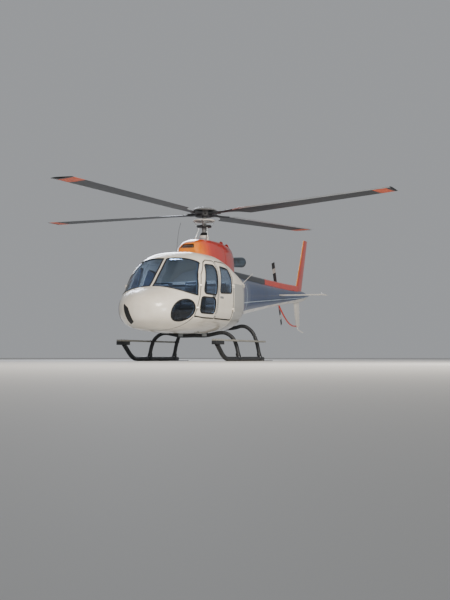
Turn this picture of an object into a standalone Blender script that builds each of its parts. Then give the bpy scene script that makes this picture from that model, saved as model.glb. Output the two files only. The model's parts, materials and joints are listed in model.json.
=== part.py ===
"""A light utility helicopter, parked on its skids.

Metres, +Z up. Sizes are worked out in the helicopter's own frame: the mast stands on X = 0, Y = 0,
the nose points to -Y, port is +X, and the skids stand on Z = 0. One empty then shifts everything
along Y, so that the origin lies under the middle of the whole machine.
"""

import math

import bmesh
import bpy
from mathutils import Matrix, Vector

# Driving sizes
ROTOR_RADIUS = 4.40
BLADE_COUNT = 4
BLADE_CHORD = 0.50
BLADE_THICKNESS = 0.045
BLADE_CONING = math.radians(1.8)
FIRST_BLADE = math.radians(-12.0)
TAIL_ROTOR_RADIUS = 0.86
TAIL_ROTOR_CENTRE = Vector((-0.36, 5.44, 1.75))
TAIL_ROTOR_LEAN = math.radians(20.0)
SKID_TRACK_HALF = 1.02
SKID_RADIUS = 0.045
CROSSTUBE_RADIUS = 0.040
FRONT_CROSSTUBE_Y = -0.53
AFT_CROSSTUBE_Y = 0.63
WALL = 0.040
GLASS_DEPTH = 0.008
GLASS_THICK = 0.008
SEAT_GAP = 0.0003
FLOOR_GAP = 0.0007
DOOR_GAP = 0.010
COWL_WALL = 0.022
COWL_GAP = 0.008
BOOM_WALL = 0.020
FLOOR_LOW = 0.80
FLOOR_TOP = 0.825
FRAME_SHIFT_Y = -1.30
FAR = 1.5
PORT, STARBOARD = 1.0, -1.0
SIDES = (("left", PORT), ("right", STARBOARD))

FRAME = None
KNUCKLES = []


# Scene helpers

def clear_scene():
    for thing in list(bpy.data.objects):
        bpy.data.objects.remove(thing, do_unlink=True)


def paint(name, colour, roughness, metallic=0.0):
    finish = bpy.data.materials.get(name) or bpy.data.materials.new(name)
    finish.use_nodes = True
    shader = finish.node_tree.nodes["Principled BSDF"]
    shader.inputs["Base Color"].default_value = (*colour, 1.0)
    shader.inputs["Roughness"].default_value = roughness
    shader.inputs["Metallic"].default_value = metallic
    return finish


def put(name, body, finish=None):
    """Turns a bmesh into a named object under the frame, faces pointing out."""
    body.normal_update()
    bmesh.ops.recalc_face_normals(body, faces=body.faces)
    warped = [face for face in body.faces if len(face.verts) == 4]
    bmesh.ops.triangulate(body, faces=warped)
    mesh = bpy.data.meshes.new(name)
    body.to_mesh(mesh)
    body.free()
    thing = bpy.data.objects.new(name, mesh)
    bpy.context.scene.collection.objects.link(thing)
    thing.parent = FRAME
    if finish:
        mesh.materials.append(finish)
    return thing


def guide(name, body):
    """A cutter or a blank: it shapes other pieces and isn't one itself."""
    thing = put(name, body)
    thing.hide_render = True
    thing.display_type = "WIRE"
    return thing


def shape(thing, other, operation="DIFFERENCE", solver="EXACT"):
    change = thing.modifiers.new(f"{operation.lower()} {other.name}", "BOOLEAN")
    change.operation = operation
    change.solver = solver
    change.object = other
    return thing


def copy_of(name, blank, finish):
    """A new piece that starts as a blank's mesh."""
    mesh = blank.data.copy()
    mesh.name = name
    mesh.materials.clear()
    mesh.materials.append(finish)
    thing = bpy.data.objects.new(name, mesh)
    bpy.context.scene.collection.objects.link(thing)
    thing.parent = FRAME
    return thing


# Outline helpers

def smooth_curve(table, column, y):
    """Reads one column of a station table at y, smoothly and with no overshoot."""
    ys = [row[0] for row in table]
    vs = [row[column] for row in table]
    if y <= ys[0]:
        return vs[0]
    if y >= ys[-1]:
        return vs[-1]
    slopes = [(vs[i + 1] - vs[i]) / (ys[i + 1] - ys[i]) for i in range(len(ys) - 1)]
    tangents = [slopes[0]]
    for before, after in zip(slopes, slopes[1:]):
        turn = before * after
        tangents.append(2.0 * turn / (before + after) if turn > 0.0 else 0.0)
    tangents.append(slopes[-1])
    i = max(k for k in range(len(ys) - 1) if ys[k] <= y)
    span = ys[i + 1] - ys[i]
    t = (y - ys[i]) / span
    rise = (3.0 - 2.0 * t) * t * t
    return (
        vs[i] * (1.0 - rise)
        + vs[i + 1] * rise
        + span * tangents[i] * t * (1.0 - t) ** 2
        - span * tangents[i + 1] * t * t * (1.0 - t)
    )


def rounded(outline, radius, steps=3):
    """The outline with every corner turned into a short curve of this reach."""
    points = []
    count = len(outline)
    for i in range(count):
        corner = Vector(outline[i])
        to_last = Vector(outline[i - 1]) - corner
        to_next = Vector(outline[(i + 1) % count]) - corner
        half = to_last.angle(to_next) / 2.0
        reach = min(radius / math.tan(half), 0.45 * to_last.length, 0.45 * to_next.length)
        start = corner + to_last.normalized() * reach
        end = corner + to_next.normalized() * reach
        for k in range(steps + 1):
            t = k / steps
            mix = start * (1.0 - t) ** 2 + corner * 2.0 * t * (1.0 - t) + end * t * t
            points.append((mix.x, mix.y))
    return points


def grown(outline, amount):
    """A convex outline moved outward by an amount, or inward where it is negative."""
    count = len(outline)
    area = sum(
        outline[i - 1][0] * outline[i][1] - outline[i][0] * outline[i - 1][1]
        for i in range(count)
    )
    side = 1.0 if area > 0.0 else -1.0
    points = []
    for i in range(count):
        corner = Vector(outline[i])
        into = (corner - Vector(outline[i - 1])).normalized()
        away = (Vector(outline[(i + 1) % count]) - corner).normalized()
        normal = Vector((into.y + away.y, -into.x - away.x)) * side
        normal.normalize()
        lean = max(0.3, normal.dot(Vector((into.y, -into.x)) * side))
        moved = corner + normal * (amount / lean)
        points.append((moved.x, moved.y))
    return points


def ellipse(centre, halves, tilt, count):
    points = []
    for k in range(count):
        turn = 2.0 * math.pi * k / count
        along, up = halves[0] * math.cos(turn), halves[1] * math.sin(turn)
        points.append(
            (
                centre[0] + along * math.cos(tilt) - up * math.sin(tilt),
                centre[1] + along * math.sin(tilt) + up * math.cos(tilt),
            )
        )
    return points


# Solid helpers

def loft(rings):
    """A closed body through rings of equal point counts, with a flat end on the first and last."""
    body = bmesh.new()
    rows = [[body.verts.new(point) for point in ring] for ring in rings]
    count = len(rows[0])
    for near, far in zip(rows, rows[1:]):
        for i in range(count):
            j = (i + 1) % count
            body.faces.new((near[i], near[j], far[j], far[i]))
    body.faces.new(rows[0])
    body.faces.new(rows[-1])
    return body


def prism(outline, low, high, axis="X"):
    """An outline in the plane across an axis, drawn out along it from low to high."""
    places = {
        "X": lambda u, v, w: (w, u, v),
        "Y": lambda u, v, w: (u, w, v),
        "Z": lambda u, v, w: (u, v, w),
    }
    at = places[axis]
    return loft([[at(u, v, w) for u, v in outline] for w in (low, high)])


def block(low, high):
    outline = [(low[0], low[1]), (high[0], low[1]), (high[0], high[1]), (low[0], high[1])]
    return prism(outline, low[2], high[2], "Z")


def across(direction):
    """Two unit vectors square to a direction and to each other, the second one mostly up."""
    direction = direction.normalized()
    up = Vector((0, 0, 1)) if abs(direction.z) < 0.9 else Vector((0, 1, 0))
    side = direction.cross(up).normalized()
    return side, side.cross(direction).normalized()


def rod(points, radii, sides=8):
    """A round bar along points, with a flat side down where it lies level."""
    points = [Vector(point) for point in points]
    radii = radii if isinstance(radii, (list, tuple)) else [radii] * len(points)
    rings = []
    for i, point in enumerate(points):
        before = points[max(i - 1, 0)]
        after = points[min(i + 1, len(points) - 1)]
        side, up = across(after - before)
        ring = []
        for k in range(sides):
            turn = 2.0 * math.pi * (k + 0.5) / sides
            reach = radii[i] / math.cos(math.pi / sides)
            ring.append(point + (side * math.cos(turn) + up * math.sin(turn)) * reach)
        rings.append(ring)
    return loft(rings)


def bend(points, steps=4):
    """A smooth path through points, by a Catmull-Rom curve."""
    points = [Vector(point) for point in points]
    padded = [2 * points[0] - points[1], *points, 2 * points[-1] - points[-2]]
    path = []
    for i in range(1, len(padded) - 2):
        a, b, c, d = padded[i - 1:i + 3]
        for k in range(steps):
            t = k / steps
            path.append(
                0.5 * (
                    2 * b + (c - a) * t + (2 * a - 5 * b + 4 * c - d) * t * t
                    + (3 * b - a - 3 * c + d) * t ** 3
                )
            )
    path.append(points[-1])
    return path


def turned(profile, sides, centre=(0.0, 0.0)):
    """A body turned about a vertical axis from (radius, height) pairs, along its outline."""
    rings = []
    for radius, height in profile:
        ring = []
        for k in range(sides):
            turn = 2.0 * math.pi * (k + 0.5) / sides
            x = centre[0] + radius * math.cos(turn)
            y = centre[1] + radius * math.sin(turn)
            ring.append((x, y, height))
        rings.append(ring)
    return loft(rings)


def ring_body(profile, sides):
    """A closed ring about the Z axis, from the (radius, height) corners of its section."""
    body = bmesh.new()
    rows = []
    for k in range(sides):
        turn = 2.0 * math.pi * k / sides
        corners = [(r * math.cos(turn), r * math.sin(turn), z) for r, z in profile]
        rows.append([body.verts.new(corner) for corner in corners])
    count = len(profile)
    for k in range(sides):
        near, far = rows[k], rows[(k + 1) % sides]
        for i in range(count):
            j = (i + 1) % count
            body.faces.new((near[i], near[j], far[j], far[i]))
    return body


def moved(body, matrix):
    bmesh.ops.transform(body, matrix=matrix, verts=body.verts)
    return body


def mirrored(cutter):
    """The same cutter on the other side of the machine."""
    body = bmesh.new()
    body.from_mesh(cutter.data)
    for corner in body.verts:
        corner.co.x = -corner.co.x
    return guide(f"{cutter.name} mirrored", body)


def on_side(cutter, side):
    return cutter if side == PORT else mirrored(cutter)


def flip(point, side):
    """A port point, or its mirror place to starboard."""
    return Vector((point[0] * side, point[1], point[2]))


# Fuselage surface

# Y, half width, lowest Z, Z of the widest line, highest Z, fullness below, fullness above
BODY = (
    (-2.940, 0.150, 0.815, 0.945, 1.075, 2.0, 2.0),
    (-2.915, 0.255, 0.760, 0.950, 1.140, 2.0, 2.0),
    (-2.850, 0.380, 0.705, 0.960, 1.215, 2.1, 2.0),
    (-2.740, 0.495, 0.655, 0.975, 1.285, 2.2, 2.1),
    (-2.600, 0.590, 0.620, 1.000, 1.350, 2.4, 2.2),
    (-2.440, 0.670, 0.595, 1.030, 1.415, 2.6, 2.4),
    (-2.100, 0.795, 0.570, 1.080, 1.730, 2.7, 2.6),
    (-1.720, 0.868, 0.560, 1.150, 2.065, 2.8, 2.9),
    (-1.300, 0.896, 0.558, 1.220, 2.180, 2.8, 3.2),
    (-0.900, 0.900, 0.560, 1.250, 2.180, 2.8, 3.4),
    (-0.400, 0.900, 0.570, 1.250, 2.110, 2.8, 3.2),
    (0.000, 0.885, 0.600, 1.270, 2.010, 2.8, 2.8),
    (0.250, 0.820, 0.640, 1.300, 1.955, 2.8, 2.8),
    (0.600, 0.660, 0.730, 1.340, 1.925, 2.8, 3.0),
    (1.000, 0.490, 0.840, 1.390, 1.910, 2.7, 3.0),
    (1.500, 0.355, 0.960, 1.440, 1.895, 2.5, 2.8),
    (2.000, 0.285, 1.050, 1.470, 1.890, 2.2, 2.4),
    (3.400, 0.225, 1.245, 1.555, 1.865, 2.1, 2.2),
    (5.000, 0.155, 1.445, 1.650, 1.850, 2.0, 2.0),
    (6.300, 0.110, 1.580, 1.720, 1.855, 2.0, 2.0),
    (6.900, 0.020, 1.745, 1.762, 1.780, 2.0, 2.0),
)
NOSE_Y = BODY[0][0]
TAIL_END_Y = BODY[-1][0]
RING_POINTS = 36
BOOM_RING_POINTS = 16
BOOM_START_Y = 2.00
CABIN_END_Y = -0.47
ROOF_END_Y = 0.05
CABIN_STATIONS = (
    NOSE_Y, -2.930, -2.900, -2.850, -2.760, -2.640, -2.500, -2.340, -2.170, -1.990, -1.820,
    -1.620, -1.380, -1.080, -0.740, -0.420, -0.160, 0.090,
)
AFT_STATIONS = (
    CABIN_END_Y + SEAT_GAP, -0.22, 0.00, 0.16, 0.34, 0.54, 0.78, 1.04, 1.34, 1.66, BOOM_START_Y,
)
BOOM_STATIONS = (BOOM_START_Y + SEAT_GAP, 2.90, 3.90, 4.90, 5.90, 6.40, 6.70, TAIL_END_Y)


def body_section(y, inset=0.0):
    """Half width, lowest, widest and highest Z and the two fullness powers of the skin at y."""
    half, low, middle, high, below, above = (smooth_curve(BODY, k, y) for k in range(1, 7))
    return half - inset, low + inset, middle, high - inset, below, above


def body_ring(y, inset=0.0, count=RING_POINTS, from_y=None):
    half, low, middle, high, below, above = body_section(y if from_y is None else from_y, inset)
    ring = []
    for k in range(count):
        turn = 2.0 * math.pi * k / count
        side, lift = math.sin(turn), -math.cos(turn)
        power = above if lift > 0.0 else below
        reach = (abs(side) ** power + abs(lift) ** power) ** (-1.0 / power)
        x = half * side * reach
        z = middle + lift * reach * ((high - middle) if lift > 0.0 else (middle - low))
        ring.append((x, y, z))
    return ring


def skin_x(y, z, inset=0.0):
    """How far out the skin lies at this station and height."""
    half, low, middle, high, below, above = body_section(y, inset)
    power = above if z > middle else below
    part = (z - middle) / ((high - middle) if z > middle else (middle - low))
    return half * max(0.0, 1.0 - abs(part) ** power) ** (1.0 / power)


def skin_low(x, y):
    """The height of the belly at this place."""
    half, low, middle, _, below, _ = body_section(y)
    return middle - (middle - low) * max(0.0, 1.0 - (abs(x) / half) ** below) ** (1.0 / below)


def skin_high(x, y):
    """The height of the roof at this place."""
    half, _, middle, high, _, above = body_section(y)
    return middle + (high - middle) * max(0.0, 1.0 - (abs(x) / half) ** above) ** (1.0 / above)


def body_blank(name, stations, inset, past_start=0.0, past_end=0.0, count=RING_POINTS):
    """A solid of the skin's form. A deeper one starts further aft, so that the nose is as thick."""
    rings = []
    for i, y in enumerate(stations):
        fade = min(1.0, max(0.0, (-1.9 - y) / 0.9))
        place = y + inset * fade
        if i == 0:
            place -= past_start
        if i == len(stations) - 1:
            place += past_end
        rings.append(body_ring(place, inset, count, from_y=y))
    return guide(name, loft(rings))


# Outlines in the side view, as (Y, Z) pairs
SILL_Z = 0.84
DOOR_TOP_Z = 1.978
SEAM_LOW = (-2.47, 0.40)
SEAM_HIGH = (-2.125, SILL_Z)
FRONT_DOOR_EDGE = ((-2.104, SILL_Z), (-2.047, 1.038), (-1.965, 1.247), (-1.906, 1.452), (-1.814, 1.669))
FRONT_DOOR_TOP = ((-1.575, 1.925), (-1.470, DOOR_TOP_Z))
REAR_DOOR_EDGE_Y = -0.532
# How far the doors' edges keep back from their doorways, beyond the gap, so that they swing clear
FRONT_DOOR_TOE_RISE = 0.022
FRONT_DOOR_TOE_LENGTH = 0.30
PILLAR_SET_BACK = (0.006, 0.014)
BAGGAGE_DOOR_SWEEP = 0.398
BAGGAGE_DOOR_MIDDLE_X = 0.76
REAR_DOOR_TOP = ((-0.665, DOOR_TOP_Z), (REAR_DOOR_EDGE_Y, 1.70))
PILLAR_LOW = (-1.330, SILL_Z)
PILLAR_HIGH = (-1.184, DOOR_TOP_Z)
PILLAR_HALF = 0.020
POST_HALF = 0.035
ROOF_SPLIT_Z = 1.66
BASE_Z = 1.43
BASE_DROP = 0.26
BASE_LIP = 0.020
HINGE_PROUD = 0.023
HINGE_RADIUS = 0.013
HINGE_LENGTH = 0.036


def pillar_y(z):
    share = (z - PILLAR_LOW[1]) / (PILLAR_HIGH[1] - PILLAR_LOW[1])
    return PILLAR_LOW[0] + share * (PILLAR_HIGH[0] - PILLAR_LOW[0])


def front_doorway(cut):
    """The hole for the front door. As a cutter it runs out below the sill."""
    low = SILL_Z - (0.06 if cut else 0.0)
    edge = list(FRONT_DOOR_EDGE)
    edge[0] = (edge[0][0] - (0.017 if cut else 0.0), low + (0.0 if cut else FRONT_DOOR_TOE_RISE))
    back = (0.0, 0.0) if cut else PILLAR_SET_BACK
    rear = [
        (pillar_y(DOOR_TOP_Z) - PILLAR_HALF - back[1], DOOR_TOP_Z),
        (pillar_y(low) - PILLAR_HALF - back[0], low),
    ]
    toe = [] if cut else [(edge[0][0] + FRONT_DOOR_TOE_LENGTH, low)]
    return edge + list(FRONT_DOOR_TOP) + rear + toe


def rear_doorway(cut):
    """The hole for the rear door. The door's own front edge lies back, to swing past the pillar."""
    low = SILL_Z - (0.06 if cut else 0.0)
    back = (0.0, 0.0) if cut else PILLAR_SET_BACK
    front = [
        (pillar_y(low) + PILLAR_HALF + back[0], low),
        (pillar_y(DOOR_TOP_Z) + PILLAR_HALF + back[1], DOOR_TOP_Z),
    ]
    return front + [*REAR_DOOR_TOP, (REAR_DOOR_EDGE_Y, low)]


FRONT_PANE = rounded([(-1.865, 1.30), (-1.345, 1.30), (-1.285, 1.60), (-1.265, 1.89), (-1.585, 1.89)], 0.09)
LOWER_PANE = rounded([(-1.985, 0.925), (-1.405, 0.925), (-1.375, 1.235), (-1.925, 1.235)], 0.10)
REAR_PANE = rounded([(-1.195, 1.345), (-0.61, 1.375), (-0.595, 1.70), (-0.68, 1.86), (-1.06, 1.885)], 0.06)
BAGGAGE_DOORWAY = rounded([(0.08, 0.98), (0.70, 1.06), (0.70, 1.58), (0.08, 1.58)], 0.06)
WINDSHIELD = rounded(
    [
        (-3.10, 1.20), (-2.050, 1.20), (-2.030, 1.257), (-1.975, 1.452), (-1.885, 1.669),
        (-1.668, 1.920), (-1.80, 2.018), (-1.95, 2.60), (-3.10, 2.60),
    ],
    0.02, 1,
)
CHIN_PANE = ellipse((-2.385, 0.960), (0.275, 0.195), math.radians(20.0), 20)


def side_cutter(name, outline, sweep=0.0, middle=0.0):
    """A cutter with an outline in the side view, drawn out across the port side, square or swept aft."""
    low, high = 0.2, FAR
    rings = [[(x, y + sweep * (x - middle), z) for y, z in outline] for x in (low, high)]
    return guide(name, loft(rings))


def foot_line(drop, width=0.95, steps=16):
    """The curved line in the front view that the windshield stands on."""
    xs = [-width + 2.0 * width * k / steps for k in range(steps + 1)]
    return [(x, BASE_Z - drop - BASE_DROP * x * x) for x in xs]


def above_foot(name, drop):
    line = foot_line(drop)
    return guide(name, prism([*line, (line[-1][0], 2.7), (line[0][0], 2.7)], -3.3, -1.5, "Y"))


def make_blanks():
    """The skin, its inside, and the band that the glass lies in, as guides that pieces are cut from."""
    blanks = {
        "skin": guide("cabin skin", loft([body_ring(y) for y in CABIN_STATIONS])),
        "inside": body_blank("cabin inside", CABIN_STATIONS, WALL, past_end=0.02),
        "hold": body_blank("floor space", CABIN_STATIONS, WALL + FLOOR_GAP),
        "outer": body_blank("clear of the cabin", CABIN_STATIONS, -SEAT_GAP, past_end=0.02),
        "aft skin": guide("aft skin", loft([body_ring(y) for y in AFT_STATIONS])),
        "aft inside": body_blank("aft inside", AFT_STATIONS, WALL, past_start=-WALL, past_end=0.02),
        "aft outer": body_blank("clear of the aft body", AFT_STATIONS, -SEAT_GAP, 0.3, SEAT_GAP),
        "boom": guide("boom skin", loft([body_ring(y, 0.0, BOOM_RING_POINTS) for y in BOOM_STATIONS])),
        "boom inside": body_blank(
            "boom inside", BOOM_STATIONS[:5], BOOM_WALL, past_start=0.02, count=BOOM_RING_POINTS
        ),
        "boom outer": body_blank(
            "clear of the boom", (1.5, *BOOM_STATIONS), -SEAT_GAP, count=BOOM_RING_POINTS
        ),
        "glass out": body_blank("glass outer face", CABIN_STATIONS, GLASS_DEPTH),
        "glass in": body_blank("glass inner face", CABIN_STATIONS, GLASS_DEPTH + GLASS_THICK, past_end=0.02),
    }
    return blanks


# Cabin shells

def nose_region(name, gap):
    """The space of the nose cover: ahead of the belly seam, under the foot of the windshield."""
    rear = SEAM_HIGH[0] + gap
    sides = [
        (-3.3, SEAM_LOW[1]), (SEAM_LOW[0] + gap, SEAM_LOW[1]), (rear, SILL_Z - gap),
        (-1.86, SILL_Z - gap), (-1.86, 1.60), (-3.3, 1.60),
    ]
    region = guide(name, prism(sides, -FAR, FAR, "X"))
    top = foot_line(BASE_LIP - gap)
    cap = guide(f"{name} cap", prism([*top, (top[-1][0], 0.2), (top[0][0], 0.2)], -3.4, -1.5, "Y"))
    return shape(region, cap, "INTERSECT")


def cabin_shells(blanks, cream, grey):
    made = {}
    nose = copy_of("nose_shell", blanks["skin"], cream)
    shape(nose, blanks["inside"])
    shape(nose, nose_region("nose space", 0.0), "INTERSECT")
    made["nose"] = nose

    seam = [
        (SEAM_LOW[0] + SEAT_GAP, 0.2), (SEAM_LOW[0] + SEAT_GAP, SEAM_LOW[1]),
        (SEAM_HIGH[0] + SEAT_GAP, SILL_Z - SEAT_GAP), (CABIN_END_Y, SILL_Z - SEAT_GAP), (CABIN_END_Y, 0.2),
    ]
    belly = copy_of("belly_shell", blanks["skin"], cream)
    shape(belly, blanks["inside"])
    shape(belly, guide("belly space", prism(seam, -FAR, FAR, "X")), "INTERSECT")
    made["belly"] = belly

    upper = [
        (-3.4, SILL_Z), (CABIN_END_Y, SILL_Z), (CABIN_END_Y, ROOF_SPLIT_Z), (ROOF_END_Y, ROOF_SPLIT_Z),
        (ROOF_END_Y, 2.6), (-3.4, 2.6),
    ]
    canopy = copy_of("canopy_frame", blanks["skin"], cream)
    shape(canopy, blanks["inside"], solver="MANIFOLD")
    shape(canopy, guide("canopy space", prism(upper, -FAR, FAR, "X")), "INTERSECT", "MANIFOLD")
    shape(canopy, nose_region("grown nose space", SEAT_GAP), solver="MANIFOLD")
    made["canopy"] = canopy

    aft = copy_of("rear_fuselage", blanks["aft skin"], grey)
    shelf = guide("parcel shelf", block((-FAR, -1.0, ROOF_SPLIT_Z - WALL), (FAR, ROOF_END_Y + WALL, 2.6)))
    hollow = blanks["aft inside"]
    shape(hollow, shelf)
    shape(aft, hollow)
    roof = block((-FAR, -1.0, ROOF_SPLIT_Z - SEAT_GAP), (FAR, ROOF_END_Y + SEAT_GAP, 2.6))
    shape(aft, guide("roof space", roof))
    made["aft"] = aft
    return made


# Doors and glass

def leaf(start, end, reach):
    """One knuckle with its leaf: a bar along the axis whose section tapers out to the panel."""
    along = (end - start).normalized()
    out = reach - along * reach.dot(along)
    lean = out.normalized()
    square = along.cross(lean)
    sides = 8
    section = []
    for k in range(sides + 1):
        turn = math.pi / 2.0 + math.pi * k / sides
        section.append(lean * math.cos(turn) * HINGE_RADIUS + square * math.sin(turn) * HINGE_RADIUS)
    section += [out - square * HINGE_RADIUS * 0.6, out + square * HINGE_RADIUS * 0.6]
    return loft([[start + corner for corner in section], [end + corner for corner in section]])


def hinge(moving, fixed, places, moving_reach, fixed_reach):
    """Knuckles of a hinge at two places on one axis, each with a leaf into its own panel."""
    along = (places[1] - places[0]).normalized()
    owners = fixed if isinstance(fixed, (list, tuple)) else (fixed, fixed)
    for place, owner in zip(places, owners):
        for thing, sense, reach in ((moving, 1.0, moving_reach), (owner, -1.0, fixed_reach)):
            start = place + along * sense * SEAT_GAP / 2.0
            end = start + along * sense * HINGE_LENGTH
            KNUCKLES.append((thing, guide(f"{thing.name} hinge", leaf(start, end, reach))))


def front_hinge_places(side):
    places = []
    for y, z in ((-2.053, 1.030), (-1.905, 1.470)):
        places.append(flip((skin_x(y, z) + HINGE_PROUD, y, z), side))
    return places


def rear_hinge_places(side):
    places = []
    for z in (1.04, 1.52):
        y = REAR_DOOR_EDGE_Y - 0.003
        places.append(flip((skin_x(y, z) + HINGE_PROUD, y, z), side))
    return places


def baggage_hinge_places(side):
    places = []
    for y in (0.16, 0.60):
        places.append(flip((skin_x(y, 1.595) + 0.040, y, 1.595), side))
    return places


def glass_pane(name, blanks, outline_cutter, finish):
    pane = copy_of(name, blanks["glass out"], finish)
    shape(pane, blanks["glass in"])
    shape(pane, outline_cutter, "INTERSECT")
    return pane


def panel(name, skin, inside, outline_cutter, finish):
    thing = copy_of(name, skin, finish)
    shape(thing, inside)
    shape(thing, outline_cutter, "INTERSECT")
    return thing


def cabin_doors(blanks, shells, cream, glass):
    front_cut = side_cutter("front doorway", front_doorway(True))
    rear_cut = side_cutter("rear doorway", rear_doorway(True))
    front_form, rear_form = (
        side_cutter(f"{kind} door form", rounded(grown(outline(False), -DOOR_GAP), 0.03, 2))
        for kind, outline in (("front", front_doorway), ("rear", rear_doorway))
    )
    panes = {
        "front_door": (("window", FRONT_PANE), ("lower_window", LOWER_PANE)),
        "rear_door": (("window", REAR_PANE),),
    }
    for word, side in SIDES:
        for cut in (front_cut, rear_cut):
            shape(shells["canopy"], on_side(cut, side), solver="MANIFOLD")
        shape(shells["nose"], on_side(front_cut, side))
        for kind, form in (("front_door", front_form), ("rear_door", rear_form)):
            door = panel(f"{kind}_{word}", blanks["skin"], blanks["inside"], on_side(form, side), cream)
            for label, outline in panes[kind]:
                hole = side_cutter(f"{kind} {label} hole", outline)
                shape(door, on_side(hole, side))
                fit = side_cutter(f"{kind} {label} fit", grown(outline, -SEAT_GAP))
                glass_pane(f"{kind}_{label}_{word}", blanks, on_side(fit, side), glass)
            if kind == "front_door":
                hinge(
                    door, (shells["nose"], shells["canopy"]), front_hinge_places(side),
                    flip((-0.044, 0.064, 0.0), side), flip((-0.060, -0.044, 0.0), side),
                )
            else:
                hinge(
                    door, shells["canopy"], rear_hinge_places(side),
                    flip((-0.041, -0.052, 0.0), side), flip((-0.041, 0.042, 0.0), side),
                )


def baggage_doors(blanks, shells, finish):
    sweep = (BAGGAGE_DOOR_SWEEP, BAGGAGE_DOOR_MIDDLE_X)
    hole = side_cutter("baggage doorway", BAGGAGE_DOORWAY, *sweep)
    form = side_cutter("baggage door form", grown(BAGGAGE_DOORWAY, -DOOR_GAP), *sweep)
    for word, side in SIDES:
        shape(shells["aft"], on_side(hole, side))
        door = panel(
            f"baggage_door_{word}", blanks["aft skin"], blanks["aft plain inside"], on_side(form, side),
            finish,
        )
        hinge(
            door, shells["aft"], baggage_hinge_places(side),
            flip((-0.057, 0.0, -0.066), side), flip((-0.072, 0.0, 0.050), side),
        )


def windshield(blanks, shells, glass):
    opening = guide("windshield opening", prism(WINDSHIELD, -FAR, FAR, "X"))
    shape(opening, above_foot("over the foot line", 0.0), "INTERSECT")
    shape(opening, guide("post", block((-POST_HALF, -3.5, 0.5), (POST_HALF, -1.0, 2.8))))
    shape(shells["canopy"], opening, solver="MANIFOLD")
    fit_top = above_foot("over the foot of the pane", -SEAT_GAP)
    chin = side_cutter("chin opening", CHIN_PANE)
    chin_fit = side_cutter("chin fit", grown(CHIN_PANE, -SEAT_GAP))
    for word, side in SIDES:
        low, high = sorted((side * (POST_HALF + SEAT_GAP), side * FAR))
        fit = guide(f"windshield fit {word}", prism(grown(WINDSHIELD, -SEAT_GAP), low, high, "X"))
        glass_pane(f"windshield_{word}", blanks, shape(fit, fit_top, "INTERSECT"), glass)
        shape(shells["nose"], on_side(chin, side))
        glass_pane(f"chin_window_{word}", blanks, on_side(chin_fit, side), glass)


# Cabin fittings

def cabin_fittings(blanks, grey, fabric, black):
    floor = copy_of("cabin_floor", blanks["hold"], grey)
    slab = guide("floor slab", block((-FAR, -2.46, FLOOR_LOW), (FAR, CABIN_END_Y - SEAT_GAP, FLOOR_TOP)))
    shape(floor, slab, "INTERSECT")
    foot = FLOOR_TOP + SEAT_GAP
    front = rounded(
        [
            (-1.80, foot), (-1.80, 1.13), (-1.36, 1.10), (-1.27, 1.60), (-1.16, 1.60), (-1.25, 1.00),
            (-1.25, foot),
        ],
        0.03, 2,
    )
    for word, side in SIDES:
        low, high = sorted((side * 0.14, side * 0.62))
        put(f"front_seat_{word}", prism(front, low, high, "X"), fabric)
    rear = rounded(
        [
            (-1.00, foot), (-1.00, 1.13), (-0.64, 1.10), (-0.60, 1.60), (-0.50, 1.60), (-0.50, foot),
        ],
        0.03, 2,
    )
    put("rear_bench", prism(rear, -0.74, 0.74, "X"), fabric)
    dash = rounded([(-2.26, 1.12), (-2.24, 1.30), (-2.10, 1.36), (-2.00, 1.34), (-1.99, 1.10)], 0.02, 2)
    panel_body = put("instrument_panel", prism(dash, -0.42, 0.42, "X"), black)
    pedestal = rounded([(-2.20, foot), (-2.20, 1.20), (-2.03, 1.20), (-1.86, 0.98), (-1.86, foot)], 0.02, 2)
    shape(panel_body, guide("pedestal", prism(pedestal, -0.11, 0.11, "X")), "UNION")


def landing_lights(shells):
    """Round lamps that stand a little proud of the belly."""
    for name, x, y, radius in (("large lamp", -0.15, -1.51, 0.080), ("small lamp", 0.38, -1.19, 0.050)):
        base = skin_low(x, y)
        profile = [(radius, base + 0.03), (radius, base - 0.006), (radius * 0.85, base - 0.012)]
        shape(shells["belly"], guide(name, turned(profile, 14, (x, y))), "UNION")


# Cowls

# Y, half width, top Z
COWL = (
    (-0.850, 0.260, 2.330),
    (-0.780, 0.300, 2.420),
    (-0.600, 0.335, 2.500),
    (-0.420, 0.345, 2.540),
    (0.000, 0.345, 2.570),
    (0.450, 0.330, 2.575),
    (0.800, 0.295, 2.560),
    (1.000, 0.260, 2.540),
    (1.150, 0.220, 2.505),
)
COWL_STATIONS = (
    -0.85, -0.82, -0.77, -0.68, -0.56, -0.42, -0.20, 0.05, 0.30, 0.55, 0.75, 0.92, 1.05, 1.15,
)
COWL_FULLNESS = 3.4
GEARBOX_HINGE_LIFT = 0.028
COWL_BASE_Z = 1.72
INTAKE_JOINT_Y = -0.45
GEARBOX_JOINT_Y = 0.43
EXHAUST_JOINT_Y = 0.98
ENGINE_HINGE_YS = (0.56, 0.86)
GEARBOX_HINGE_YS = (-0.32, 0.32)
RIDGE_HALF = 0.150
EXHAUST_RADIUS = 0.120
EXHAUST_ENTRY = Vector((0.0, 1.0903, 2.20))
EXHAUST_END = Vector((0.0, 2.07, 2.275))
ENGINE_LOW = (-0.17, 0.52, 1.80)
ENGINE_HIGH = (0.17, 1.055, 2.24)


def cowl_ring(y, inset=0.0, place=None):
    half = smooth_curve(COWL, 1, y) - inset
    top = smooth_curve(COWL, 2, y) - inset
    ring = []
    steps = 16
    for k in range(steps + 1):
        turn = math.pi * k / steps
        side, lift = math.cos(turn), math.sin(turn)
        reach = (abs(side) ** COWL_FULLNESS + lift ** COWL_FULLNESS) ** (-1.0 / COWL_FULLNESS)
        height = COWL_BASE_Z + (top - COWL_BASE_Z) * lift * reach
        ring.append((half * side * reach, y if place is None else place, height))
    return ring


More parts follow.
